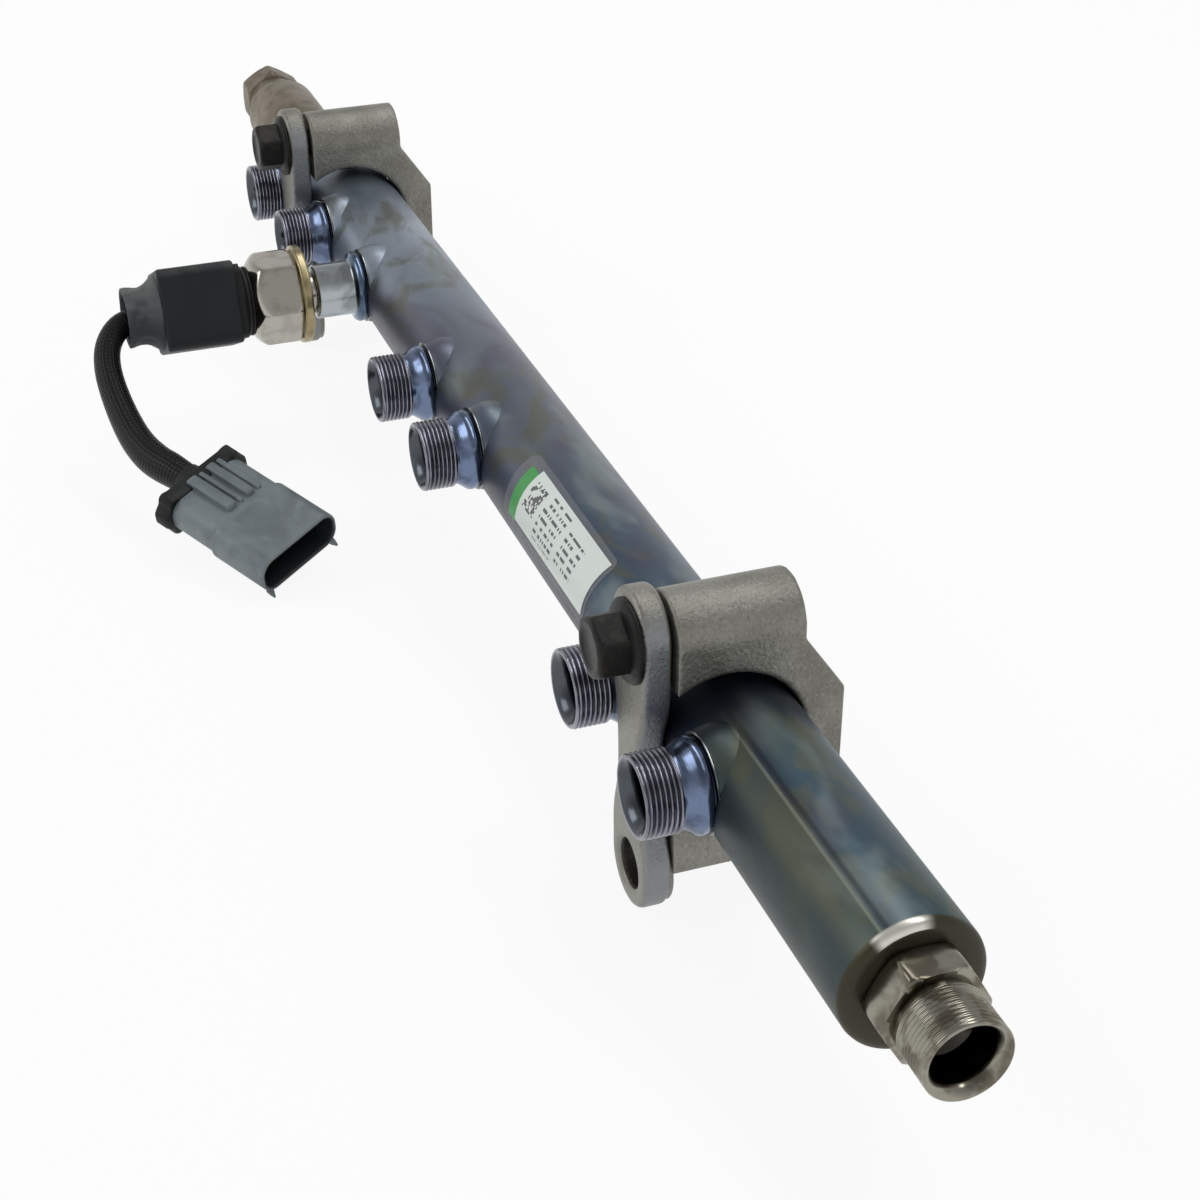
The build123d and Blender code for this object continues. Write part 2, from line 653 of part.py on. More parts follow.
plunger_front = cavity_front - SEAT_L + PLUNGER_CONE_L - SEAT_HOLE_R - SLIDE_FIT
plunger_shoulder = cavity_front - SEAT_L - SLIDE_FIT
plunger_flange = plunger_shoulder - 3.0
plunger_back = plunger_front - PLUNGER_L
with BuildPart() as relief_valve_plunger:
    with BuildSketch(Plane.XY):
        with BuildLine():
            Polyline(
                (plunger_front, 0),
                (plunger_front, SEAT_HOLE_R),
                (plunger_shoulder, PLUNGER_CONE_L),
                (plunger_shoulder, VALVE_CAVITY_R - SLIDE_FIT),
                (plunger_flange, VALVE_CAVITY_R - SLIDE_FIT),
                (plunger_flange, VALVE_CAVITY_R / 2),
                (plunger_back, VALVE_CAVITY_R / 2),
                (plunger_back, 0),
                close=True,
            )
        make_face()
    revolve(axis=Axis.X)
keep(relief_valve_plunger, "relief_valve_plunger")

shim_face = valve_back + VALVE_CAP_SHANK_L
with BuildPart() as relief_valve_shim:
    with BuildSketch(Plane.YZ.offset(shim_face)):
        Circle(VALVE_CAVITY_R - SLIDE_FIT)
        Circle(VALVE_CAVITY_R / 2, mode=Mode.SUBTRACT)
    extrude(amount=SHIM_T)
keep(relief_valve_shim, "relief_valve_shim")

spring_mean_r = VALVE_CAVITY_R - SLIDE_FIT - SPRING_WIRE_R - 0.1
spring_start = shim_face + SHIM_T + SPRING_WIRE_R
spring_end = plunger_flange - SPRING_WIRE_R
with BuildPart() as relief_valve_spring:
    with BuildLine() as spring_path:
        Helix(
            pitch=(spring_end - spring_start) / SPRING_COILS,
            height=spring_end - spring_start,
            radius=spring_mean_r,
            center=(spring_start, 0, 0),
            direction=(1, 0, 0),
        )
    with BuildSketch(Plane(origin=spring_path.line @ 0, z_dir=spring_path.line % 0)):
        Circle(SPRING_WIRE_R)
    sweep(path=spring_path.wires()[0], is_frenet=True)
keep(relief_valve_spring, "relief_valve_spring")

with BuildPart() as relief_valve_cap:
    with BuildSketch(Plane.YZ.offset(cap_end)):
        RegularPolygon(radius=VALVE_HEX_AF / 2, side_count=6, major_radius=False)
    extrude(amount=VALVE_HEX_L)
    with BuildSketch(Plane.XY):
        with BuildLine():
            Polyline(
                (cap_face, 0),
                (cap_face, VALVE_NECK_R),
                (cap_face - 1.2, VALVE_HEX_AF / math.sqrt(3)),
                (cap_end + VALVE_CAP_ROUND, VALVE_HEX_AF / math.sqrt(3)),
                (cap_end, VALVE_HEX_AF / math.sqrt(3) - VALVE_CAP_ROUND - 1.0),
                (cap_end, 0),
                close=True,
            )
        make_face()
    revolve(axis=Axis.X, mode=Mode.INTERSECT)
    with BuildSketch(Plane.YZ.offset(valve_back)):
        Circle(VALVE_NECK_R)
    extrude(amount=-VALVE_CAP_GAP)
    with BuildSketch(Plane.YZ.offset(valve_back)):
        Circle(VALVE_CAVITY_R - THREAD_FIT)
    extrude(amount=VALVE_CAP_SHANK_L)
keep(relief_valve_cap, "relief_valve_cap")

# clamps: bracket, strap and bolt at each end
bolt_end = -RAIL_R - STRAP_T
for side, x in CLAMP_SIDES:
    with BuildPart() as clamp_bracket:
        with BuildSketch(Plane.YZ.offset(x - BLOCK_HALF_W)):
            with BuildLine():
                Polyline(
                    (-BLOCK_FRONT, BLOCK_SHOULDER_Z),
                    (UPPER_BOSS_BACK, BLOCK_SHOULDER_Z),
                    (BLOCK_BACK, BLOCK_BACK_TOP),
                    (BLOCK_BACK, LOWER_HOLE_Z + LOWER_BOSS_R / 2),
                    (-BLOCK_FRONT, LOWER_HOLE_Z + LOWER_BOSS_R / 2),
                    close=True,
                )
            make_face()
        extrude(amount=2 * BLOCK_HALF_W)
        fillet(clamp_bracket.edges().filter_by(Axis.X), radius=CAST_ROUND)
        fillet(clamp_bracket.faces().filter_by(Axis.X).edges(), radius=CAST_ROUND)
        with BuildSketch(Plane.XZ.offset(-UPPER_BOSS_BACK)):
            with Locations((x, UPPER_HOLE_Z)):
                Circle(UPPER_BOSS_R)
        extrude(amount=UPPER_BOSS_BACK + BOSS_FRONT)
        with BuildSketch(Plane.XZ.offset(-BLOCK_BACK)):
            with Locations((x, LOWER_HOLE_Z)):
                Circle(LOWER_BOSS_R)
        extrude(amount=BLOCK_BACK + BOSS_FRONT)
        with BuildSketch(Plane.YZ.offset(x - 2 * BLOCK_HALF_W)):
            with Locations((cradle_centre, 0)):
                Circle(CRADLE_R)
            with Locations((cradle_centre - BOSS_FRONT, 0)):
                Rectangle(2 * BOSS_FRONT, 2 * CRADLE_R)
        extrude(amount=4 * BLOCK_HALF_W, mode=Mode.SUBTRACT)
        with BuildSketch(Plane.XZ.offset(BOSS_FRONT)):
            with Locations((x, UPPER_HOLE_Z)):
                Circle(BOLT_R)
        extrude(amount=-BOLT_HOLE_DEPTH, mode=Mode.SUBTRACT)
        with BuildSketch(Plane.XZ.offset(BOSS_FRONT)):
            with Locations((x, LOWER_HOLE_Z)):
                Circle(MOUNT_HOLE_R)
        extrude(amount=-BLOCK_BACK - BOSS_FRONT, mode=Mode.SUBTRACT)
    keep(clamp_bracket, f"clamp_bracket_{side}")

    with BuildPart() as clamp_strap:
        with BuildSketch(Plane.XZ.offset(RAIL_R)):
            with BuildLine():
                ThreePointArc(
                    (x + STRAP_UPPER_SHIFT - STRAP_UPPER_R, STRAP_UPPER_Z),
                    (x + STRAP_UPPER_SHIFT, STRAP_UPPER_Z + STRAP_UPPER_R),
                    (x + STRAP_UPPER_SHIFT + STRAP_UPPER_R, STRAP_UPPER_Z),
                )
                Polyline(
                    (x + STRAP_UPPER_SHIFT + STRAP_UPPER_R, STRAP_UPPER_Z),
                    (x + STRAP_UPPER_SHIFT + STRAP_UPPER_R, STRAP_WAIST_TOP + 1.0),
                    (x + STRAP_WAIST_RIGHT, STRAP_WAIST_TOP),
                    (x + STRAP_WAIST_RIGHT, STRAP_WAIST_LOW),
                    (x + STRAP_LOWER_R, LOWER_HOLE_Z + STRAP_LOWER_R / 2),
                    (x + STRAP_LOWER_R, LOWER_HOLE_Z),
                )
                ThreePointArc(
                    (x + STRAP_LOWER_R, LOWER_HOLE_Z),
                    (x, LOWER_HOLE_Z - STRAP_LOWER_R),
                    (x - STRAP_LOWER_R, LOWER_HOLE_Z),
                )
                Polyline(
                    (x - STRAP_LOWER_R, LOWER_HOLE_Z),
                    (x - STRAP_LOWER_R, LOWER_HOLE_Z + STRAP_LOWER_R),
                    (x + STRAP_WAIST_LEFT, STRAP_WAIST_LOW),
                    (x + STRAP_WAIST_LEFT, STRAP_WAIST_TOP),
                    (x + STRAP_UPPER_SHIFT - STRAP_UPPER_R, STRAP_UPPER_Z - STRAP_UPPER_R / 2),
                    (x + STRAP_UPPER_SHIFT - STRAP_UPPER_R, STRAP_UPPER_Z),
                )
            outline = make_face()
            waist = outline.vertices().filter_by_position(
                Axis.Y, LOWER_HOLE_Z + STRAP_LOWER_R / 4, STRAP_UPPER_Z - STRAP_UPPER_R / 4
            )
            fillet(waist, radius=STRAP_CORNER_R)
        extrude(amount=STRAP_T)
        front_edges = clamp_strap.faces().sort_by(Axis.Y)[0].edges()
        chamfer(front_edges, length=STRAP_EDGE)
        with BuildSketch(Plane.XZ.offset(BOSS_FRONT)):
            with Locations((x, LOWER_HOLE_Z)):
                Circle(STRAP_LOWER_R - STRAP_EDGE)
        extrude(amount=RAIL_R - BOSS_FRONT + STRAP_T / 2)
        with BuildSketch(Plane.XZ.offset(BOSS_FRONT)):
            with Locations((x, LOWER_HOLE_Z)):
                Circle(MOUNT_HOLE_R)
            with Locations((x, UPPER_HOLE_Z)):
                Circle(BOLT_R + BOLT_CLEARANCE)
        extrude(amount=2 * STRAP_T, mode=Mode.SUBTRACT)
        hole_rims = clamp_strap.faces().sort_by(Axis.Y)[0].edges().filter_by(GeomType.CIRCLE)
        chamfer(hole_rims.filter_by(lambda e: e.radius < MOUNT_HOLE_R + 0.1), length=MOUNT_HOLE_CHAMFER)
    keep(clamp_strap, f"clamp_strap_{side}")

    with BuildPart() as clamp_bolt:
        with BuildSketch(Plane.XZ.offset(RAIL_R + STRAP_T)):
            with Locations((x, UPPER_HOLE_Z)):
                RegularPolygon(radius=BOLT_HEX_AF / 2, side_count=6, major_radius=False)
        extrude(amount=BOLT_HEAD_H + BOLT_FLANGE_T)
        head_end_y = -RAIL_R - STRAP_T - BOLT_HEAD_H - BOLT_FLANGE_T
        with BuildSketch(Plane.XY.offset(UPPER_HOLE_Z)):
            with BuildLine():
                Polyline(
                    (x, bolt_end),
                    (x + BOLT_HEX_AF, bolt_end),
                    (x + BOLT_HEX_AF, head_end_y + 1.2),
                    (x + BOLT_HEX_AF / 2 - 0.5, head_end_y),
                    (x, head_end_y),
                    close=True,
                )
            make_face()
        bolt_axis = Axis((x, 0, UPPER_HOLE_Z), (0, -1, 0))
        revolve(axis=bolt_axis, mode=Mode.INTERSECT)
        with BuildSketch(Plane.XY.offset(UPPER_HOLE_Z)):
            with BuildLine():
                Polyline(
                    (x, bolt_end),
                    (x + BOLT_FLANGE_R, bolt_end),
                    (x + BOLT_FLANGE_R, bolt_end - BOLT_FLANGE_T * 0.7),
                    (x + BOLT_HEX_AF / 2, bolt_end - BOLT_FLANGE_T - 1.0),
                    (x, bolt_end - BOLT_FLANGE_T - 1.0),
                    close=True,
                )
            make_face()
        revolve(axis=bolt_axis)
        with BuildSketch(Plane.XZ.offset(-bolt_end)):
            with Locations((x, UPPER_HOLE_Z)):
                Circle(BOLT_R - BOLT_FIT)
        extrude(amount=-STRAP_T - BOLT_GRIP)
        chamfer(clamp_bolt.faces().sort_by(Axis.Y)[-1].edges(), length=1.0)
    keep(clamp_bolt, f"clamp_bolt_{side}")

# label: thin laminate bent round the rail
with BuildPart() as rail_label:
    start_angle = math.radians(180 - LABEL_HIGH_ANGLE)
    with BuildSketch(
        Plane(
            origin=(LABEL_START, 0, 0),
            x_dir=(1, 0, 0),
            z_dir=(0, -math.sin(start_angle), math.cos(start_angle)),
        )
    ):
        with Locations(((LABEL_END - LABEL_START) / 2, RAIL_R + LABEL_GLUE + LABEL_T / 2)):
            Rectangle(LABEL_END - LABEL_START, LABEL_T)
    revolve(axis=Axis.X, revolution_arc=LABEL_HIGH_ANGLE - LABEL_LOW_ANGLE)
keep(rail_label, "rail_label")
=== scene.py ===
# %% [markdown]
# ## Common rail of a diesel engine
# The solids come from the CAD model and stay where they are. This lesson gives each of them its
# finish, and draws what is too fine for the solids: threads, eased edges, cast skins, the sleeve of
# the cable and the printed label. Lengths are metres, in the frame of the CAD model. The profiles of
# single pieces are written in millimetres, as on a drawing, and `MM` brings them to metres.

# %% Load the fixed frame
import bpy
import bmesh
import math
from mathutils import Matrix, Vector, noise


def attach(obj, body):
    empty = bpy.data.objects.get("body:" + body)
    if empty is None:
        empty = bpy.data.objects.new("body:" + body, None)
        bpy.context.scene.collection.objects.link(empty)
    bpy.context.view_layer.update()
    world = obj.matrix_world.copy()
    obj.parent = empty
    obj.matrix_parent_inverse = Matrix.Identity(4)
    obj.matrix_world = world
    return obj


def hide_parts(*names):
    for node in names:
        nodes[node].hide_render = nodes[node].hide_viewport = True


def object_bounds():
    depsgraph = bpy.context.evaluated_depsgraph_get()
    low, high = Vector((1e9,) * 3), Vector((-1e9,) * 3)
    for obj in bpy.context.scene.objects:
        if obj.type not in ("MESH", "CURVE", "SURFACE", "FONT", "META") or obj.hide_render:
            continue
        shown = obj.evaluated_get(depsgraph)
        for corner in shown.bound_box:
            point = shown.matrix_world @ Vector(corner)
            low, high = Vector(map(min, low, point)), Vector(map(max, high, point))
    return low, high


MM = 0.001

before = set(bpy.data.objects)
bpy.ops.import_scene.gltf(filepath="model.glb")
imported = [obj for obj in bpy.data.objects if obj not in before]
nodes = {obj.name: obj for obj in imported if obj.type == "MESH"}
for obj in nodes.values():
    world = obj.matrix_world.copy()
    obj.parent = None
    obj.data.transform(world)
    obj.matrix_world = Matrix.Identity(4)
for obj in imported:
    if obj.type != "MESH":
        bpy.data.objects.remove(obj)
cad_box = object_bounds()
floor_height = cad_box[0][2]
bpy.context.scene.view_settings.view_transform = "Standard"
print("nodes", len(nodes), "lowest point", round(floor_height, 4))

# %% [markdown]
# Two helpers: one puts new data into the scene, the other gives the mesh that an object has after
# its modifiers or its bevel.

# %% Objects and their meshes
def linked(name, data):
    holder = bpy.data.objects.new(name, data)
    bpy.context.collection.objects.link(holder)
    return holder


def evaluated_mesh(holder):
    bpy.context.view_layer.update()
    return bpy.data.meshes.new_from_object(holder.evaluated_get(bpy.context.evaluated_depsgraph_get()))


# %% [markdown]
# The camera comes first. A long thin object seen from near one end has strong perspective, so a
# wrong lens shows at once. Direction, lens and place were worked out from the tube's edges and
# the six branches together.

# %% Camera at the photograph's place
EYE_PLACE = (0.51841, -0.15840, 0.26820)
EYE_TURN = (70.139, 31.093, 0.051)  # azimuth, elevation and roll, in degrees
EYE_LENS = 67.229
EYE_SHIFT = (-0.0008, -0.0010)


def looking_matrix(azimuth, elevation, roll):
    a, e, r = (math.radians(v) for v in (azimuth, elevation, roll))
    back = Vector((math.sin(a) * math.cos(e), -math.cos(a) * math.cos(e), math.sin(e)))
    right = (-back).cross(Vector((0, 0, 1))).normalized()
    up = back.cross(right)
    turned_right = right * math.cos(r) + up * math.sin(r)
    turned_up = up * math.cos(r) - right * math.sin(r)
    return Matrix((turned_right, turned_up, back)).transposed().to_4x4()


eye = bpy.data.cameras.new("photo_eye")
eye.sensor_width = 36.0
eye.lens = EYE_LENS
eye.shift_x, eye.shift_y = EYE_SHIFT
eye.clip_start = 0.02
eye.clip_end = 20.0
eye_object = linked("photo_eye", eye)
eye_object.matrix_world = Matrix.Translation(EYE_PLACE) @ looking_matrix(*EYE_TURN)
bpy.context.scene.camera = eye_object
print("camera", [round(v, 3) for v in eye_object.location])

# %% [markdown]
# A mesh helper. Every turned or swept piece here is a grid: rings of points, each ring joined to
# the next. Building the grid in one place keeps the pieces short, and gives each of them a UV map
# whose first number runs round the piece and whose second runs along it in metres.

# %% Rings to mesh
SHARP_FROM = math.radians(42)


def mesh_from_rings(name, rings, along, closed=True, cap_ends=False):
    mesh = bpy.data.meshes.new(name)
    work = bmesh.new()
    uv = work.loops.layers.uv.new("UVMap")
    count = len(rings[0])
    grid = [[work.verts.new(p) for p in ring] for ring in rings]
    last = count if closed else count - 1
    for i in range(len(rings) - 1):
        for j in range(last):
            k = (j + 1) % count
            face = work.faces.new((grid[i][j], grid[i][k], grid[i + 1][k], grid[i + 1][j]))
            face.smooth = True
            turns = (j / last, (j + 1) / last, (j + 1) / last, j / last)
            lengths = (along[i], along[i], along[i + 1], along[i + 1])
            for loop, u, v in zip(face.loops, turns, lengths):
                loop[uv].uv = (u, v)
    if cap_ends:
        for ring, turn in ((grid[0], True), (grid[-1], False)):
            face = work.faces.new(list(reversed(ring)) if turn else ring)
            face.smooth = False
    bmesh.ops.recalc_face_normals(work, faces=work.faces)
    work.to_mesh(mesh)
    work.free()
    mesh.set_sharp_from_angle(angle=SHARP_FROM)
    return linked(name, mesh)


def put_on(piece, slot, *replaced):
    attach(piece, "root")
    if replaced:
        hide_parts(*replaced)
    print(piece.name, "faces", len(piece.data.polygons))


# %% [markdown]
# ## The cable
# A short stiff cable in a braided sleeve runs from the boot to the flat connector. Its line is one
# NURBS spline through the route of the CAD tube. A bevelled curve would do for a smooth lead, but
# this sleeve widens and carries a weave, so its skin is a mesh that follows the spline.

# %% Route of the cable
CABLE_ROUTE = [
    (-0.0920, -0.0780, 0.0012),
    (-0.0920, -0.0834, 0.0012),
    (-0.0906, -0.0881, -0.0005),
    (-0.0871, -0.0917, -0.0044),
    (-0.0817, -0.0928, -0.0092),
    (-0.0748, -0.0923, -0.0140),
    (-0.0661, -0.0911, -0.0184),
    (-0.0573, -0.0894, -0.0215),
    (-0.0491, -0.0864, -0.0234),
    (-0.04259, -0.08242, -0.02410),
    (-0.03807, -0.07963, -0.02507),
]
CABLE_RADIUS = 0.0041


def spline_points(route):
    curve = bpy.data.curves.new("cable_line", "CURVE")
    curve.dimensions = "3D"
    curve.resolution_u = 16
    spline = curve.splines.new("NURBS")
    spline.points.add(len(route) - 1)
    for point, place in zip(spline.points, route):
        point.co = (*place, 1.0)
    spline.order_u = 3
    spline.use_endpoint_u = True
    line = linked("cable_line", curve)
    points = [v.co.copy() for v in evaluated_mesh(line).vertices]
    bpy.data.objects.remove(line)
    return points


cable_points = spline_points(CABLE_ROUTE)
steps = [(b - a).length for a, b in zip(cable_points, cable_points[1:])]
cable_length = sum(steps)
print("cable length", round(cable_length, 4), "points", len(cable_points))

# %% [markdown]
# At each point of the spline stands a ring. Its side is carried on from ring to ring, so that the
# sleeve doesn't twist. It swells towards the connector and is drawn in just before it.

# %% Skin of the cable
AT_BOOT, SWELLS_BY, TUCKED_BY = 0.86, 0.33, 0.11  # shares of the radius
WIDEST_FROM, TUCK_FROM = 0.80, 0.90  # shares of the length
SLEEVE_SIDES = 48


def swell(share):
    wide = AT_BOOT + SWELLS_BY * min(1.0, share / WIDEST_FROM) ** 1.5
    return wide - TUCKED_BY * max(0.0, (share - TUCK_FROM) / (1.0 - TUCK_FROM))


def tube_rings(points, radius, count):
    rings = []
    side = Vector((1, 0, 0))
    travelled = 0.0
    for i, place in enumerate(points):
        ahead = (points[min(i + 1, len(points) - 1)] - points[max(i - 1, 0)]).normalized()
        side = (side - ahead * side.dot(ahead)).normalized()
        other = ahead.cross(side)
        if i:
            travelled += (place - points[i - 1]).length
        r = radius * swell(travelled / cable_length)
        ring = []
        for j in range(count):
            a = 2 * math.pi * j / count
            ring.append(place + side * (r * math.cos(a)) + other * (r * math.sin(a)))
        rings.append(ring)
    return rings


along = [0.0]
for step in steps:
    along.append(along[-1] + step)
sleeve_rings = tube_rings(cable_points, CABLE_RADIUS, SLEEVE_SIDES)
cable = mesh_from_rings("cable_sleeve", sleeve_rings, along, cap_ends=True)
put_on(cable, "cable_sleeve", "sensor_cable")

# %% [markdown]
# ## The connector
# The flat shell is drawn in its own directions: ahead towards the mouth, across, and up. Its
# section is a rectangle with round corners that steps out a little half way, turns round the lip
# and goes back in as the socket. A wavy black collar holds the back, and four ribs lie on top.

# %% Connector shell
SHELL_BACK = Vector((-33.47, -76.79, -26.06))
SHELL_UP = Vector((0.285, -0.13, 0.953)).normalized()
SHELL_AHEAD = Vector((0.837, 0.5166, -0.1802))
SHELL_AHEAD = (SHELL_AHEAD - SHELL_UP * SHELL_AHEAD.dot(SHELL_UP)).normalized()
SHELL_ACROSS = SHELL_UP.cross(SHELL_AHEAD)
SHELL_HALF_H = 5.4
CORNER_POINTS = 12
WAVES_ROUND = 6


def section(ahead, half_w, half_h, corner, middle=(0.0, 0.0), wave=0.0):
    ring = []
    for quarter, (su, sv) in enumerate(((1, 1), (-1, 1), (-1, -1), (1, -1))):
        for i in range(CORNER_POINTS):
            a = math.radians(90 * quarter + 90 * i / (CORNER_POINTS - 1))
            reach = corner + wave * math.cos(WAVES_ROUND * a)
            u = middle[0] + su * (half_w - corner) + reach * math.cos(a)
            v = middle[1] + sv * (half_h - corner) + reach * math.sin(a)
            ring.append((SHELL_BACK + SHELL_AHEAD * ahead + SHELL_ACROSS * u + SHELL_UP * v) * MM)
    return ring


def along_shell(name, stations):
    rings = [section(*station) for station in stations]
    return mesh_from_rings(name, rings, [station[0] * MM for station in stations], cap_ends=True)


# Each station is: distance ahead, half width, half height, corner radius.
shell = along_shell("connector_shell", [
    (0.0, 12.8, 5.0, 4.2), (0.4, 13.2, 5.4, 4.6), (17.6, 13.2, 5.4, 4.6), (18.2, 13.35, 5.5, 4.7),
    (18.7, 13.85, 5.7, 4.8), (19.2, 14.0, 5.8, 4.9), (37.9, 14.0, 5.8, 4.9), (38.3, 13.9, 5.7, 4.8),
    (38.5, 13.7, 5.5, 4.6), (38.5, 13.1, 4.9, 4.0), (38.3, 12.9, 4.7, 3.8), (37.8, 12.8, 4.6, 3.7),
    (21.5, 12.6, 4.4, 3.5),
])
put_on(shell, "grey_plastic", "connector_housing")

# %% [markdown]
# Four ribs lie on top of the shell, their feet sunk into it. Two small fins stand below the mouth.

# %% Ribs and fins
RIBS = ((-2.8, 3.4, 1.7), (0.7, 1.6, 0.9), (4.1, 2.8, 1.5), (7.3, 1.8, 0.8))  # place, width, height
RIB_RISE = ((0.2, 0.3), (0.4, 0.85), (0.9, 1.0), (15.4, 1.0), (16.2, 0.9), (16.8, 0.55), (17.0, 0.1))
RIB_SUNK = 1.2
for number, (across, width, height) in enumerate(RIBS, 1):
    stations = []
    for ahead, share in RIB_RISE:
        half = (height * share + RIB_SUNK) / 2
        middle = (across, SHELL_HALF_H - RIB_SUNK + half)
        stations.append((ahead, width / 2 * (0.7 + 0.3 * share), half, min(0.6, half * 0.8), middle))
    put_on(along_shell(f"shell_rib_{number}", stations), "grey_plastic")
for side, name in ((-1, "mouth_fin_left"), (1, "mouth_fin_right")):
    fin = along_shell(name, [
        (37.2, 0.9, 0.7, 0.3, (side * 11.6, -5.3)),
        (38.6, 0.8, 0.7, 0.3, (side * 11.7, -5.6)),
        (39.9, 0.25, 0.25, 0.1, (side * 12.0, -6.3)),
    ])
    put_on(fin, "grey_plastic")

# %% [markdown]
# The collar's stations also say where their middle is and how deep the rim waves.

# %% Collar and neck behind the shell
collar = along_shell("connector_collar", [
    (-2.4, 12.2, 4.6, 3.6, (0, 0), 0.2), (-2.2, 14.2, 6.0, 4.8, (0, 0), 0.45),
    (-1.6, 14.9, 6.6, 5.4, (0, 0), 0.6), (2.0, 14.9, 6.6, 5.4, (0, 0), 0.6),
    (2.8, 14.5, 6.2, 5.0, (0, 0), 0.5), (3.0, 13.3, 5.5, 4.6),
])
put_on(collar, "black_plastic", "connector_retainer")
neck = along_shell("connector_neck", [
    (-6.0, 4.4, 4.2, 3.9), (-5.6, 4.8, 4.5, 4.2), (-2.0, 5.2, 4.7, 4.4), (1.0, 5.2, 4.7, 4.4),
])
put_on(neck, "black_rubber", "connector_wire_seal")

# %% [markdown]
# ## Turned pieces
# Branches, unions, nuts and bolt heads are all turned: a profile swung round an axis. A spin
# modifier would do for a plain profile, but a thread winds and a hexagon has flats, so here the
# radius may also depend on the angle. A thread fades in over one pitch. The last stations of a
# profile, its bore, are moved on by `BORE_SHIFT` in the UV map, so that a material can tell them
# from the outside.

# %% Turning helpers
BORE_SHIFT = 1.0
RUN_OUT = 0.6  # the thread's end, as a share of the pitch
CREST, FLANK = 0.16, 0.72  # shares of half a pitch


def turned(name, foot, direction, profile, count=96, cut=None, cap_ends=False, inner=0):
    ahead = Vector(direction)
    side = Vector((0, 0, 1))
    other = ahead.cross(side)
    rings = []
    for travel, radius in profile:
        ring = []
        for j in range(count):
            a = 2 * math.pi * j / count
            r = cut(radius, travel, a) if cut else radius
            swung = side * (r * math.cos(a)) + other * (r * math.sin(a))
            ring.append((Vector(foot) + ahead * travel + swung) * MM)
        rings.append(ring)
    along = [travel * MM for travel, radius in profile]
    if inner:
        along[-inner:] = [BORE_SHIFT + v for v in along[-inner:]]
    return mesh_from_rings(name, rings, along, cap_ends=cap_ends)


def fine(profile, step):
    stations = []
    for (a, ra), (b, rb) in zip(profile, profile[1:]):
        pieces = max(1, math.ceil(abs(b - a) / step))
        stations += [(a + (b - a) * i / pieces, ra + (rb - ra) * i / pieces) for i in range(pieces)]
    return stations + [profile[-1]]


def winding(start, end, pitch, depth):
    def cut(radius, travel, angle):
        if travel <= start or travel >= end:
            return radius
        phase = (travel / pitch + angle / (2 * math.pi)) % 1.0
        valley = 1.0 - abs(2.0 * phase - 1.0)
        fade = min(1.0, (travel - start) / pitch, (end - travel) / (RUN_OUT * pitch))
        return radius - depth * fade * min(1.0, max(0.0, (valley - CREST) / FLANK))

    return cut


def six_flats(across, ease, start, end, turn=0.0):
    def cut(radius, travel, angle):
        if travel < start or travel > end:
            return radius
        flat = across / 2 / math.cos((angle + turn + math.pi / 6) % (math.pi / 3) - math.pi / 6)
        lean = max(0.0, min(1.0, 0.5 + 0.5 * (radius - flat) / ease))
        return radius + (flat - radius) * lean - ease * lean * (1 - lean)

    return cut


# %% [markdown]
# ## Rail and threaded branches
# The rail itself is a plain turned tube with eased ends. Six short unions carry a fine thread.
# Behind the thread the steel flares out to a round shoulder, on a low seat of the tube. The first
# number of each pair is the distance from the axis of the rail, the second the radius there.

# %% Rail
RAIL_R = 15.0
RAIL_ENDS = (-212.0, 247.0)
BRANCH_Z = 2.0
THREAD_PITCH = 1.1
THREAD = (20.6, 28.4)
THREAD_DEPTH = 0.5
THREAD_STEP = THREAD_PITCH / 12
BRANCHES = (-178.0, -136.0, -21.0, 21.0, 136.0, 178.0)
SENSOR_X = -92.0
eased_end = [(0.0, 8.2), (0.0, 12.6), (0.15, 13.4), (0.55, 14.25), (1.2, 14.8), (2.0, 15.0)]
tube_profile = [(RAIL_ENDS[0] + t, r) for t, r in eased_end]
tube_profile += fine([(RAIL_ENDS[0] + 2.0, RAIL_R), (RAIL_ENDS[1] - 2.0, RAIL_R)], 12.0)[1:-1]
tube_profile += [(RAIL_ENDS[1] - t, r) for t, r in reversed(eased_end)]
rail = turned("rail_skin", (0, 0, 0), (1, 0, 0), tube_profile, 144)
put_on(rail, "rail_steel", "rail_tube")

# %% [markdown]
# All six branches have one profile: foot, shoulder, thread, rim, and the bore with the sealing
# cone. The sensor's boss has the same foot but a plain barrel.

# %% Branches, boss and seats
FOOT = [
    (7.0, 9.7), (13.8, 9.7), (13.85, 10.5), (14.0, 10.8), (14.25, 10.8), (14.4, 10.4), (14.45, 9.9),
    (14.75, 9.8), (14.95, 10.1),
]
FOOT_AND_FLARE = FOOT + [(15.3, 10.35), (16.3, 10.45)]
SHOULDER = FOOT_AND_FLARE + [
    (16.9, 10.3), (17.4, 9.95), (18.3, 9.25), (19.3, 8.6), (19.9, 8.4), (20.5, 8.4), (20.8, 8.9),
]
RIM = [(28.2, 9.0), (28.6, 8.85), (28.85, 8.6), (28.9, 8.3)]
BORE = [(28.8, 8.0), (27.9, 7.3), (26.6, 6.6), (25.2, 6.3), (20.4, 6.3), (12.1, 1.5), (11.2, 1.5)]
SEAT = [
    (4.0, 11.2), (6.0, 11.5), (8.0, 11.7), (9.5, 11.7), (11.0, 11.5), (12.5, 11.15), (13.5, 10.8),
    (13.9, 10.55), (13.95, 9.6),
]
BARREL = [
    (17.2, 9.9), (17.6, 9.0), (17.9, 8.3), (18.3, 8.0), (28.3, 8.0), (28.7, 7.85), (28.9, 7.5),
    (28.9, 6.3), (28.5, 6.0), (12.0, 6.0), (12.0, 1.5), (11.2, 1.5),
]
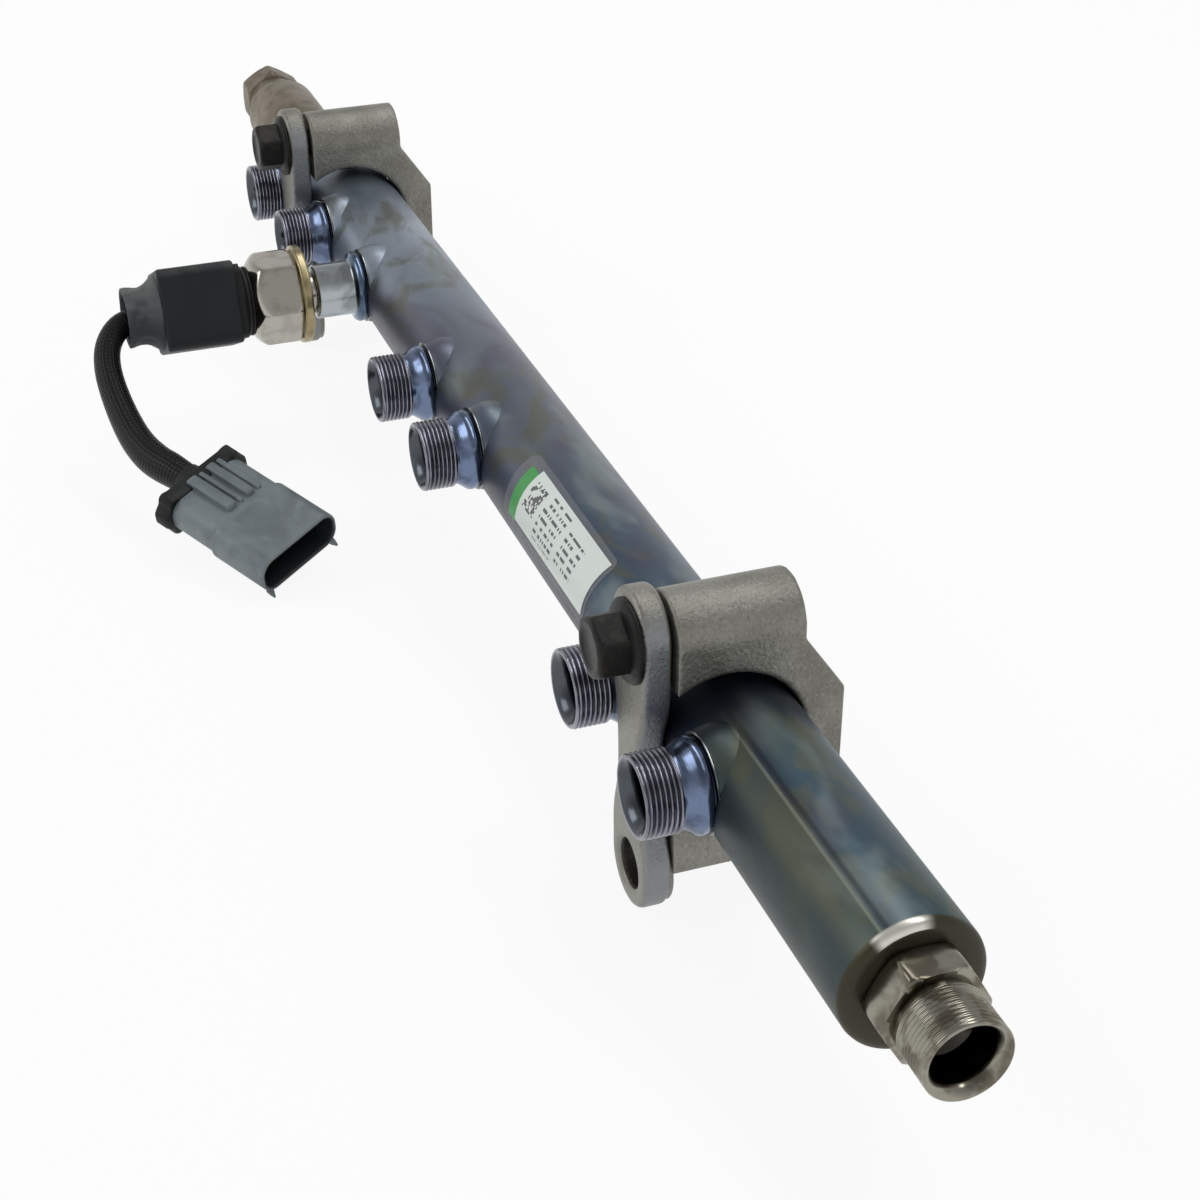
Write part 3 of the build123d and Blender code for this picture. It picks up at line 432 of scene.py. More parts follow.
BRANCH_SIDES = 84


def forward(name, x, z, profile, *extra, **named):
    return turned(name, (x, 0, z), (0, -1, 0), profile, *extra, **named)


branch_profile = SHOULDER + fine([(20.8, 9.0), (28.2, 9.0)], THREAD_STEP)[1:-1] + RIM + BORE
branch_thread = winding(*THREAD, THREAD_PITCH, THREAD_DEPTH)
for number, x in enumerate(BRANCHES, 1):
    name = f"threaded_branch_{number}"
    branch = forward(name, x, BRANCH_Z, branch_profile, BRANCH_SIDES, branch_thread, inner=len(BORE))
    put_on(branch, "rail_steel", f"injector_port_{number}")

boss_profile = FOOT_AND_FLARE + BARREL
put_on(forward("sensor_boss", SENSOR_X, BRANCH_Z, boss_profile, BRANCH_SIDES), "rail_steel", "sensor_port")
seats = []
for number, x in enumerate(BRANCHES + (SENSOR_X,), 1):
    seats.append(forward(f"branch_seat_{number}", x, BRANCH_Z, SEAT, BRANCH_SIDES))
    put_on(seats[-1], "rail_steel")

# %% [markdown]
# ## Nuts, unions and bolt heads
# A forged hexagon never has knife edges: its corners are eased and its end is turned round. A soft
# minimum of two radii, the flats' and the turned limit's, gives both at once.

# %% Inlet union
inlet_profile = [
    (234.0, 8.0), (246.9, 8.0), (247.0, 9.5), (247.4, 9.8), (247.5, 10.5), (247.8, 11.1), (248.4, 11.6),
    (254.4, 11.6), (254.9, 11.1), (255.2, 10.4), (255.3, 9.4), (255.4, 8.3), (256.2, 8.2), (256.8, 9.0),
]
inlet_profile += fine([(256.8, 9.0), (267.0, 9.0)], THREAD_STEP)[1:-1]
inlet_profile += [
    (267.0, 9.0), (267.3, 8.85), (267.5, 8.6), (267.5, 8.3), (267.4, 8.0), (266.4, 7.2), (265.0, 6.5),
    (263.6, 6.3), (258.0, 6.3), (254.7, 3.0), (233.0, 3.0),
]
inlet_thread = winding(256.6, 266.9, THREAD_PITCH, 0.34)
inlet_flats = six_flats(20.0, 0.5, 247.5, 255.3)


def inlet_cut(radius, travel, angle):
    return inlet_thread(inlet_flats(radius, travel, angle), travel, angle)


inlet = turned("inlet_union", (0, 0, 0), (1, 0, 0), inlet_profile, 156, inlet_cut)
put_on(inlet, "union_steel", "inlet_fitting")

# %% [markdown]
# The front of the sensor's hexagon is turned to a dome, and the plug's black neck sits in its rim.

# %% Sensor hexagon
sensor_profile = [(20.2, 5.3), (34.4, 5.3), (34.5, 12.4), (34.8, 13.2), (35.3, 13.8), (36.0, 14.2)]
sensor_profile += fine([(36.0, 14.2), (44.4, 14.2)], 1.0)[1:]
sensor_profile += [
    (45.0, 13.9), (45.6, 13.45), (46.2, 12.9), (46.8, 12.25), (47.4, 11.5), (47.9, 10.8), (48.3, 10.2),
    (48.6, 9.7), (48.5, 9.3), (48.1, 9.0), (47.4, 8.9), (45.8, 8.8), (45.7, 7.65), (45.6, 5.0),
]
sensor_flats = six_flats(24.0, 0.9, 34.4, 48.65)
sensor = forward("sensor_hexagon", SENSOR_X, BRANCH_Z, sensor_profile, 144, sensor_flats)
put_on(sensor, "sensor_plated", "sensor_body")

# %% [markdown]
# One profile makes both bolts. The head has a round flange, and its hexagon has a corner up.

# %% Bolt heads
CLAMPS = (("far", -156.3), ("near", 156.3))
BOLT_Z = 24.8
CORNER_UP = math.radians(30)
bolt_profile = [
    (-4.0, 3.0), (-3.2, 3.9), (21.3, 3.95), (21.4, 8.8), (21.6, 9.2), (22.1, 9.25), (22.6, 9.0),
    (23.1, 8.4), (23.6, 7.9), (24.0, 7.6),
]
bolt_profile += fine([(24.0, 7.6), (29.0, 7.5)], 1.0)[1:]
bolt_profile += [
    (29.5, 7.3), (29.9, 6.95), (30.2, 6.4), (30.4, 5.7), (30.4, 4.9), (30.2, 4.4), (30.0, 4.1),
    (29.95, 0.05),
]
bolt_flats = six_flats(13.0, 0.7, 23.5, 30.45, CORNER_UP)
for side, x in CLAMPS:
    bolt = forward(f"flange_bolt_{side}", x, BOLT_Z, bolt_profile, 120, bolt_flats)
    put_on(bolt, "bolt_steel", f"clamp_bolt_{side}")

# %% [markdown]
# The relief valve closes the far end: a plain barrel, and behind a short neck its hexagon cap.
# Its profiles run outwards from the rail's middle, against X.

# %% Relief valve at the far end
valve_profile = [
    (200.0, 8.0), (211.9, 8.0), (212.0, 11.4), (212.4, 12.1), (213.4, 12.4), (258.2, 12.4),
    (259.4, 12.1), (260.0, 11.3), (260.1, 9.4), (260.6, 9.2), (272.4, 9.2),
]
put_on(turned("valve_barrel", (0, 0, 0), (-1, 0, 0), valve_profile), "valve_steel", "relief_valve_body")
cap_profile = [(262.0, 5.0), (271.9, 5.0), (272.0, 9.4), (272.4, 10.2), (273.0, 10.95)]
cap_profile += fine([(273.0, 10.95), (281.0, 10.95)], 2.0)[1:]
cap_profile += [(281.8, 10.6), (282.5, 9.9), (283.0, 8.8), (283.0, 0.05)]
cap_flats = six_flats(19.0, 0.6, 272.0, 283.1, CORNER_UP)
cap = turned("valve_hexagon", (0, 0, 0), (-1, 0, 0), cap_profile, cut=cap_flats)
put_on(cap, "valve_steel", "relief_valve_cap")

# %% [markdown]
# ## Cast brackets
# A casting has no sharp inner or outer corner. The bracket is put together from a block with the
# cradle cut into it and two round bosses, the holes are cut, and then the whole is wrapped in a
# skin of half millimetre cells, which is smoothed a few times. The blends come by themselves.

# %% Brackets
CAST_CELL = 0.5
CAST_PASSES = 8
SCREW_Z = -32.4
CRADLE_Y, CRADLE_R = -3.2, 18.2
BLOCK_HALF = 9.6
CLAMP_SECTION = [(-14.2, 23.0), (14.2, 23.0), (23.6, 9.4), (23.6, -30.5), (-14.7, -30.5), (-14.7, -16.4)]


def cast_skin_of(name, solids, cutters):
    work = bmesh.new()
    for solid in solids:
        work.from_mesh(solid.data)
        bpy.data.objects.remove(solid)
    mesh = bpy.data.meshes.new(name)
    work.to_mesh(mesh)
    work.free()
    piece = linked(name, mesh)
    for cutter in cutters:
        drill = piece.modifiers.new("drill", "BOOLEAN")
        drill.operation = "DIFFERENCE"
        drill.solver = "EXACT"
        drill.use_self = True
        drill.object = cutter
    wrap = piece.modifiers.new("wrap", "REMESH")
    wrap.mode = "VOXEL"
    wrap.voxel_size = CAST_CELL * MM
    ease = piece.modifiers.new("ease", "SMOOTH")
    ease.factor = 0.5
    ease.iterations = CAST_PASSES
    skin = evaluated_mesh(piece)
    piece.modifiers.clear()
    piece.data = skin
    skin.shade_smooth()
    for cutter in cutters:
        bpy.data.objects.remove(cutter)
    return piece


def cylinder(name, x, z, back, front, radius, count=96):
    return forward(name, x, z, [(back, radius), (front, radius)], count, cap_ends=True)


cradle_turns = [math.radians(a) for a in range(-116, 128, 3)]
cradle = [(CRADLE_Y + CRADLE_R * math.cos(a), CRADLE_R * math.sin(a)) for a in cradle_turns]
for side, x in CLAMPS:
    rings = [
        [Vector((x + end, y, z)) * MM for y, z in CLAMP_SECTION + cradle] for end in (-BLOCK_HALF, BLOCK_HALF)
    ]
    block = mesh_from_rings("block", rings, [0.0, 1.0], cap_ends=True)
    upper = cylinder("upper", x, BOLT_Z, -14.2, 14.2, 9.6)
    lower = cylinder("lower", x, SCREW_Z, -23.6, -9.0, 8.6)
    bolt_hole = cylinder("bolt_hole", x, BOLT_Z, -6.0, 20.0, 4.2, 64)
    screw_hole = cylinder("screw_hole", x, SCREW_Z, -30.0, 20.0, 5.5, 64)
    bracket = cast_skin_of(f"bracket_{side}", [block, upper, lower], [bolt_hole, screw_hole])
    put_on(bracket, "clamp_cast", f"clamp_bracket_{side}")

# %% [markdown]
# ## Clamp straps
# The strap is a cast plate with soft edges all round. A flat curve with a bevel is the quick way:
# the outline is drawn once, the holes are splines of their own, and the bevel rounds every rim,
# the holes' too. The curve is turned into a mesh at once and set upright in front of the rail.

# %% Strap outline
EDGE_ROUND = 1.5
STRAP_Y = -18.2
STRAP_HALF = 3.2
STRAP_SHARP_FROM = math.radians(50)
WELDED_UNDER = 0.000001


def arc(centre, radius, start, end, count):
    angles = (math.radians(start + (end - start) * i / count) for i in range(count + 1))
    return [(centre[0] + radius * math.cos(a), centre[1] + radius * math.sin(a)) for a in angles]


def eased(before, corner, after, length):
    corner = Vector(corner)
    enter = corner + (Vector(before) - corner).normalized() * length
    leave = corner + (Vector(after) - corner).normalized() * length
    steps = [i / 8 for i in range(9)]
    return [tuple(enter * (1 - t) ** 2 + corner * (2 * t * (1 - t)) + leave * t**2) for t in steps]


def strap_outline():
    top = arc((-1.6, 25.6), 9.9, 0, 180, 32)
    foot = arc((0, SCREW_Z), 10.0, 180, 360, 32)
    left = [top[-1], (-11.5, 20.0), (-7.4, -1.0), (-7.4, -12.5), (-10.3, -22.5), foot[0]]
    right = [foot[-1], (10.3, -27.2), (4.4, -12.0), (4.4, 1.0), (8.3, 11.0), top[0]]
    outline = list(top)
    sides = ((left, (5.0, 6.0, 4.5, 4.0), foot), (right, (2.5, 5.0, 5.0, 4.0), []))
    for edge, eases, after in sides:
        for before, corner, behind, ease in zip(edge, edge[1:], edge[2:], eases):
            outline += eased(before, corner, behind, ease)
        outline += after
    return outline


def plate(name, outlines, middle, half, soft):
    curve = bpy.data.curves.new(name, "CURVE")
    curve.dimensions = "2D"
    curve.fill_mode = "BOTH"
    curve.extrude = (half - soft) * MM
    curve.bevel_depth = soft * MM
    curve.bevel_resolution = 4
    curve.offset = -soft * MM
    for outline in outlines:
        spline = curve.splines.new("POLY")
        spline.points.add(len(outline) - 1)
        for point, (u, v) in zip(spline.points, outline):
            point.co = (u * MM, v * MM, 0, 1)
        spline.use_cyclic_u = True
    line = linked(name, curve)
    mesh = evaluated_mesh(line)
    bpy.data.objects.remove(line)
    x, y, z = (v * MM for v in middle)
    mesh.transform(Matrix(((1, 0, 0, x), (0, 0, -1, y), (0, 1, 0, z), (0, 0, 0, 1))))
    work = bmesh.new()
    work.from_mesh(mesh)
    bmesh.ops.remove_doubles(work, verts=work.verts, dist=WELDED_UNDER)
    work.to_mesh(mesh)
    work.free()
    mesh.shade_smooth()
    mesh.set_sharp_from_angle(angle=STRAP_SHARP_FROM)
    return linked(name, mesh)


# %% [markdown]
# Under each strap's foot lies a short round pad.

# %% Straps and pads
SCREW_HOLE = arc((0, SCREW_Z), 5.5, 360, 0, 48)[:-1]
BOLT_HOLE = arc((0, BOLT_Z), 4.5, 360, 0, 48)[:-1]
PAD = [(16.5, 5.5), (14.3, 5.5), (14.2, 5.6), (14.2, 9.1), (14.4, 9.3), (16.5, 9.3)]
for side, x in CLAMPS:
    outlines = [strap_outline(), SCREW_HOLE, BOLT_HOLE]
    strap = plate(f"strap_plate_{side}", outlines, (x, STRAP_Y, 0), STRAP_HALF, EDGE_ROUND)
    put_on(strap, "clamp_cast", f"clamp_strap_{side}")
    put_on(forward(f"strap_pad_{side}", x, SCREW_Z, PAD, 72), "clamp_cast")

# %% [markdown]
# ## Boot of the plug
# The rubber boot is drawn tight over the plug's neck: it has creases along it and its mouth is not
# quite round. The creases are a slow noise in the radius, stronger towards the mouth.

# %% Boot
CREASE_FROM = 75.6
CREASE_FULL_AFTER = 5.0
boot_outside = [
    (75.3, 11.3), (76.0, 10.9), (77.2, 9.9), (78.6, 9.0), (80.0, 8.5), (81.4, 8.4), (82.8, 8.6),
    (84.0, 8.9), (84.8, 8.95), (85.0, 8.6),
]
boot_inside = [(85.0, 8.0), (84.6, 7.5), (82.0, 7.1), (79.0, 6.9), (78.0, 6.8), (77.9, 4.0)]


def creased(radius, travel, angle):
    pull = max(0.0, min(1.0, (travel - CREASE_FROM) / CREASE_FULL_AFTER))
    spot = Vector((math.cos(angle) * 1.6, math.sin(angle) * 1.6, travel * 0.16))
    fold = noise.noise(spot) * 0.9 + noise.noise(spot * 2.7) * 0.45
    return radius + fold * pull * 0.8 - 0.25 * pull


boot = forward("creased_boot", SENSOR_X, BRANCH_Z, fine(boot_outside, 0.5) + boot_inside, cut=creased)
put_on(boot, "black_rubber", "cable_boot")

# %% [markdown]
# ## Label
# The label is a thin film bent round the tube, with round corners. The film is clear at its rim;
# its white field carries a green stripe, a block of squares and rows of short bars. They stand for
# a printed label without saying anything, and are drawn by the material from where a point lies.

# %% Label film
LABEL_X = (50.8, 109.4)
LABEL_TURN = (-3.0, 67.0)
LABEL_R = 15.15
LABEL_CORNER = 3.0
LABEL_STEPS = (20, 24)  # along the label and round it


def label_point(x, arc_length, radius):
    angle = math.radians(LABEL_TURN[0]) + arc_length / RAIL_R
    return Vector((x, -radius * math.cos(angle), radius * math.sin(angle))) * MM


def label_rings():
    height = math.radians(LABEL_TURN[1] - LABEL_TURN[0]) * RAIL_R
    corner = LABEL_CORNER
    start, stop = LABEL_X
    by_length, by_turn = LABEL_STEPS
    rings, along = [], []
    ends = [corner * (1 - math.cos(math.radians(9 * i))) for i in range(11)]
    straight = stop - start - 2 * corner
    middles = [start + corner + straight * i / by_length for i in range(1, by_length)]
    for x in [start + e for e in ends] + middles + [stop - e for e in reversed(ends)]:
        inward = min(x - start, stop - x, corner)
        cut_back = corner - math.sqrt(max(0.0, corner**2 - (corner - inward) ** 2))
        span = height - 2 * cut_back
        arcs = [cut_back + span * j / by_turn for j in range(by_turn + 1)]
        face = [label_point(x, a, LABEL_R) for a in arcs]
        rings.append([label_point(x, arcs[0], RAIL_R)] + face + [label_point(x, arcs[-1], RAIL_R)])
        along.append(x * MM)
    return rings, along


put_on(mesh_from_rings("printed_film", *label_rings(), closed=False), "label_film", "rail_label")

# %% [markdown]
# ## Shader arithmetic
# A material is easier to read as an expression than as a web of nodes. `Wire` wraps one output
# socket. Adding, multiplying and so on lays Math nodes for numbers and Vector Math nodes for
# vectors; colours are blended with `mix`. The reflected forms, such as `__rsub__`, serve when the
# plain number stands first. `Bench` owns one material and lays any other node.

# %% Wire and Bench
def laying(operation, swapped=False):
    return lambda wire, other: wire.join(operation, other, swapped)


class Wire:
    def __init__(self, bench, socket):
        self.bench = bench
        self.socket = socket

    def flat(self):
        return self.socket.type not in ("VECTOR", "RGBA")

    def join(self, operation, other, swapped=False):
        first, second = (other, self) if swapped else (self, other)
        if self.flat() and not (isinstance(other, Wire) and not other.flat()):
            return self.bench.math(operation, first, second)
        if not isinstance(other, Wire) and not isinstance(other, (tuple, list)):
            if operation == "MULTIPLY":
                return self.bench.node("VectorMath", {"operation": "SCALE"}, self, Scale=other)
            first, second = ((other,) * 3, self) if swapped else (self, (other,) * 3)
        return self.bench.node("VectorMath", {"operation": operation}, first, second)

    __add__, __radd__ = laying("ADD"), laying("ADD", True)
    __sub__, __rsub__ = laying("SUBTRACT"), laying("SUBTRACT", True)
    __mul__, __rmul__ = laying("MULTIPLY"), laying("MULTIPLY", True)
    __truediv__, __rtruediv__ = laying("DIVIDE"), laying("DIVIDE", True)
    __pow__, __rpow__ = laying("POWER"), laying("POWER", True)
    above, below = laying("GREATER_THAN"), laying("LESS_THAN")
    smaller, larger = laying("MINIMUM"), laying("MAXIMUM")

    def __neg__(self):
        return self * -1.0

    def __abs__(self):
        return self.bench.math("ABSOLUTE", self)

    def sine(self):
        return self.bench.math("SINE", self)

    def ramp(self, low, high):
        settings, limits = {"interpolation_type": "SMOOTHSTEP"}, {"From Min": low, "From Max": high}
        return self.bench.node("MapRange", settings, Value=self, **limits)

    def hill(self, rises_from, rises_to, falls_from, falls_to):
        return self.ramp(rises_from, rises_to) * self.ramp(falls_to, falls_from)

    def mix(self, other, share):
        return self.bench.blend(self, other, share)

    def part(self, name):
        split = self.bench.lay("SeparateXYZ", {}, self)
        return Wire(self.bench, split.outputs[name])


class Bench:
    def __init__(self, name):
        self.material = bpy.data.materials.new(name)
        self.material.use_nodes = True
        self.tree = self.material.node_tree
        self.shader = self.tree.nodes["Principled BSDF"]
        self.place = self.node("TexCoord", {}, out="Object")

    def plug(self, socket, value):
        if isinstance(value, Wire):
            self.tree.links.new(value.socket, socket)
        elif isinstance(value, (tuple, list)) and socket.type == "RGBA" and len(value) == 3:
            socket.default_value = (*value, 1.0)
        else:
            socket.default_value = value

    def lay(self, kind, settings, *values, **named):
        node = self.tree.nodes.new("ShaderNode" + kind)
        for key, value in settings.items():
            setattr(node, key, value)
        usable = [s for s in node.inputs if s.enabled]
        for socket, value in zip(usable, values):
            self.plug(socket, value)
        for key, value in named.items():
            self.plug(next(s for s in usable if s.name == key), value)
        return node

    def node(self, kind, settings, *values, out=None, **named):
        node = self.lay(kind, settings, *values, **named)
        usable = [s for s in node.outputs if s.enabled]
        chosen = next(s for s in usable if s.name == out) if out else usable[0]
        return Wire(self, chosen)

    def math(self, operation, *values):
        return self.node("Math", {"operation": operation}, *values)

    def blend(self, first, second, share):
        return self.node("Mix", {"data_type": "RGBA"}, Factor=share, A=first, B=second)

    def tints(self, first, second, share):
        return self.blend(paint(*first), paint(*second), share)

    def noise(self, size, detail=3.0, stretch=(1, 1, 1), rough=0.5, twist=0.0, shift=0.0):
        spread = self.place * tuple(s / size for s in stretch) + (shift, shift, shift)
        values = {"Vector": spread, "Scale": 1.0, "Detail": detail, "Roughness": rough, "Distortion": twist}
        return self.node("TexNoise", {}, out="Fac", **values)

    def bump(self, height, depth):
        return self.node("Bump", {}, Height=height, Distance=depth, Strength=1.0)

    def angle(self):
        return self.math("ARCTAN2", self.place.part("Z"), -self.place.part("Y"))

    def finish(self, **values):
        for key, value in values.items():
            self.plug(self.shader.inputs[key.replace("_", " ")], value)
        return self.material


def paint(red, green, blue):
    def linear(c):
        c /= 255.0
        return c / 12.92 if c <= 0.04045 else ((c + 0.055) / 1.055) ** 2.4

    return tuple(linear(c) for c in (red, green, blue))


def layered(colour, *layers):
    for tint, share in layers:
        colour = colour.mix(paint(*tint), share)
    return colour


def wear(material, *names):
    for name in names:
        piece = nodes[name] if name in nodes else bpy.data.objects[name]
        piece.data.materials.clear()
        piece.data.materials.append(material)
    print(material.name, "on", *names)


# %% [markdown]
# ## Passivated steel
# Zinc plating is dipped in a chromate that leaves a film as thin as a soap bubble, so the tube
# shows clouds of blue, purple, olive and brown that drift along it. A picture of the clouds would
# be one tube's only; layers of noise, stretched along the tube, give the same drift at any size.
# Broad zones carry them: grey lilac far off, slate in the middle, teal at the near end. Marks in
# one place are products of ramps along X and of the angle round the tube: 0 degrees faces the
# branches, 90 faces up. Several of these marks are painted light: painted shade below and under the
# near clamp, a painted reflection streak and painted highlights at the near end.

# %% Clouded tube
bench = Bench("clouded_passivation")
x_along = bench.place.part("X")
turned_to = bench.angle() * (180 / math.pi)
broad = bench.noise(0.034, 3.0, (0.50, 1, 1), twist=0.5)
middling = bench.noise(0.020, 3.0, (0.50, 1, 1), twist=0.6, shift=3.1)
small = bench.noise(0.011, 4.0, (0.60, 1, 1), twist=0.8, shift=7.3)
pale = bench.noise(0.016, 3.0, (0.40, 1, 1), twist=0.4, shift=11.7)
grain = bench.noise(0.0016, 2.0)
near_end = x_along.ramp(0.165, 0.190)
end = x_along.ramp(0.2446, 0.2454)
# upper side of the near end's rounded edge: polished smoother, and painted bright as a painted highlight
rim_polish_and_highlight = end * x_along.below(0.24688) * turned_to.hill(50.0, 60.0, 90.0, 104.0)
zone = layered(
    bench.tints((150, 160, 172), (94, 100, 112), x_along.ramp(-0.14, 0.02)),
    ((76, 88, 98), x_along.ramp(0.05, 0.12)),
    ((58, 76, 78), x_along.ramp(0.14, 0.18)),  # teal at the near end
    ((62, 82, 104), broad.ramp(0.46, 0.66) * 0.50),  # blue clouds
    ((70, 62, 82), middling.ramp(0.48, 0.66) * 0.50),  # purple clouds
    ((94, 95, 74), small.ramp(0.50, 0.66) * 0.60),  # olive clouds
    ((128, 140, 140), pale.ramp(0.54, 0.70) * 0.55),  # pale clouds
    ((48, 47, 54), turned_to.ramp(38.0, -12.0) * 0.65),  # shade below
    # painted shade on the lower side of the near end, in grey green
    ((60, 70, 66), near_end * turned_to.ramp(62.0, 36.0) * 0.7),
    ((88, 92, 74), turned_to.hill(28.0, 44.0, 60.0, 66.0) * near_end * (0.20 + small * 0.6)),  # olive band
    # painted reflection: a dark streak along the near end, with a painted highlight line beside it
    ((26, 30, 34), turned_to.hill(64.0, 67.0, 68.0, 71.5) * near_end * 0.55),  # dark streak
    ((150, 156, 138), turned_to.hill(60.5, 62.0, 63.0, 64.5) * near_end * 0.45),  # glint beside it
    # painted shadow of the near clamp on the tube, a dark blue band
    ((28, 28, 50), x_along.hill(0.146, 0.156, 0.168, 0.186) * 0.65),  # under the near clamp
    ((62, 58, 44), end * 0.9),
    # painted highlight on the near end's rounded edge
    ((214, 212, 202), rim_polish_and_highlight),  # bright edge of the near end
)
bench.finish(
    Base_Color=zone,
    Roughness=0.32 + small * 0.12 + grain * 0.06 + near_end * 0.05 - rim_polish_and_highlight * 0.16,
    Metallic=0.85,
    Normal=bench.bump(grain, 0.00002),
)
wear(bench.material, "rail_skin", *[seat.name for seat in seats])

# %% [markdown]
# ## Branches
# The branches are turned from bar and have the same film, but brighter. The bottom of a thread
# is painted darker than its crests, as painted shade; the UV map gives the place along and round the
# piece, so the material can follow the winding of the thread. The shoulder behind it is polished to a
# pale blue, and ends in a bright ring and a dark joint. The foot below the ring and the bore are
# painted dark as painted shade.

# %% Turned bright steel
FOOT_END, RING_END, JOINT_END = 0.01382, 0.01435, 0.01485
BORE_FROM = 0.9 * BORE_SHIFT
TOOL_MARK = 0.0005


def turned_steel(name, tints, thread, blue_before, rough):
    crest, valley, shoulder = (paint(*tint) for tint in tints)
    bench = Bench(name)
    uv = bench.node("TexCoord", {}, out="UV")
    travel = uv.part("Y")
    phase = bench.math("FRACT", travel / (THREAD_PITCH * MM) + uv.part("X"))
    depth = 1.0 - abs(phase * 2.0 - 1.0)
    in_thread = travel.above(thread[0] * MM) * travel.below(thread[1] * MM)
    groove = depth.ramp(0.20, 0.80) * in_thread
    cloud = bench.noise(0.007, 3.0, twist=0.8)
    marks = (travel * (2 * math.pi / TOOL_MARK)).sine() * (1.0 - in_thread)
    colour = bench.blend(crest, tuple(c * 0.62 for c in crest), cloud.ramp(0.40, 0.66))
    film = bench.blend(shoulder, tuple(c * 0.55 for c in shoulder), cloud.ramp(0.42, 0.62))
    # the second tint, laid in the thread's grooves, is painted shade
    colour = colour.mix(film, travel.below(blue_before * MM)).mix(valley, groove * 0.8)
    foot = travel.below(FOOT_END)
    ring = travel.above(FOOT_END) * travel.below(RING_END)
    joint = travel.above(RING_END) * travel.below(JOINT_END)
    # the bore is painted dark as painted shade
    shaded_bore = travel.above(BORE_FROM)
    # foot: painted shade, a dark blue-black below the ring; the ring and the joint are the steel's own colours
    places = ((26, 29, 40), foot * 0.95), ((132, 136, 130), ring * 0.9), ((20, 22, 32), joint * 0.9)
    colour = layered(colour, *places, ((64, 70, 74), shaded_bore * 0.85))
    return bench.finish(
        Base_Color=colour,
        Roughness=rough + cloud * 0.10 + groove * 0.15 + foot * 0.15,
        Metallic=1.0,
        Normal=bench.bump(marks, 0.000002),
    )


NO_THREAD = (1000.0, 2000.0)  # far beyond the piece
# second tint: painted shade for the thread's grooves
branch_tints = (140, 141, 152), (38, 40, 52), (108, 122, 150)
boss_tints = (170, 176, 180), (90, 90, 90), (104, 122, 146)
branch_steel = turned_steel("branch_steel", branch_tints, THREAD, 20.4, 0.17)
boss_steel = turned_steel("boss_steel", boss_tints, NO_THREAD, 17.8, 0.18)
wear(branch_steel, *[f"threaded_branch_{number}" for number in range(1, len(BRANCHES) + 1)])
wear(boss_steel, "sensor_boss")

# %% [markdown]
# ## Cast clamps
# The brackets and straps are castings with a fine grey skin: grains about a third of a millimetre
# across, slightly darker in the hollows. The grain goes to the bump and a little of it to the
# colour, so the skin reads at close range and stays quiet from afar. The screw holes are painted
# dark as painted shade: they are found by the distance from their axis. The strap's side face that
# looks along X carries a painted sheen, bluer and lighter.

# %% Cast grey skin
bench = Bench("cast_skin")
grains = bench.noise(0.0008, 3.0, rough=0.6)
blotch = bench.noise(0.014, 3.0)
skin = bench.tints((134, 133, 126), (110, 108, 100), blotch.ramp(0.40, 0.66) * 0.7)
looking_along = bench.node("NewGeometry", {}, out="Normal").part("X")
# painted light: the strap's side face that looks along X gets a bluer, lighter painted sheen
strap_side_sheen = looking_along.ramp(0.5, 1.0) * bench.place.part("Y").below(-0.0152)
# the screw holes are painted dark as painted shade, found by the distance from their axis
from_middle = abs(bench.place.part("X")) - CLAMPS[1][1] * MM
from_hole = bench.place.part("Z") - SCREW_Z * MM
hole_shade = (from_middle * from_middle + from_hole * from_hole).below(0.0058**2)
skin = layered(
    skin,
    ((164, 163, 157), grains.ramp(0.52, 0.74) * 0.45),
    ((86, 85, 80), grains.ramp(0.46, 0.30) * 0.45),
    # painted sheen on the strap's side face
    ((132, 137, 146), strap_side_sheen * 0.6),
    # painted shade in the screw holes
    ((52, 48, 42), hole_shade * 0.9),
)
bench.finish(Base_Color=skin, Roughness=0.34 + grains * 0.18, Metallic=0.8, Normal=bench.bump(grains, 0.00020))
for side, x in CLAMPS:
    wear(bench.material, f"bracket_{side}", f"strap_plate_{side}", f"strap_pad_{side}")

# %% [markdown]
# The bolts are phosphated: nearly black, with brown patches and small pits.

# %% Black bolts
bench = Bench("bolt_phosphate")
patch = bench.noise(0.005, 4.0)
pits = bench.noise(0.0008, 3.0)
bench.finish(
    Base_Color=bench.tints((22, 23, 21), (44, 40, 32), patch.ramp(0.48, 0.66) * 0.7),
    Roughness=0.36 + pits * 0.24,
    Metallic=0.6,
    Normal=bench.bump(pits, 0.00008),
)
wear(bench.material, "flange_bolt_far", "flange_bolt_near")

# %% [markdown]
# ## Plated pieces
# The sensor, the inlet and the inner parts are nickel plated, the ring under the hexagon is yellow,
# the valve at the far end is dull. All are metals, told apart by tint, second tint and roughness.
# The inlet's bore is painted dark as painted shade.

# %% Plated pieces
def plated(name, tint, second, rough, share=0.6, size=0.006, shaded_bore=0.0):
    bench = Bench(name)
    cloud = bench.noise(size, 3.0, twist=0.5)
    colour = bench.tints(tint, second, cloud.ramp(0.44, 0.64) * share)
    # inside the bore's radius the colour is painted dark as painted shade
    if shaded_bore:
        y, z = bench.place.part("Y"), bench.place.part("Z")
        colour = colour.mix(paint(26, 24, 22), (y * y + z * z).below(shaded_bore**2) * 0.85)
    return bench.finish(
        Base_Color=colour,
        Roughness=rough + cloud * 0.12,
        Metallic=1.0,
        Normal=bench.bump(bench.noise(0.0012, 2.0), 0.00001),
    )


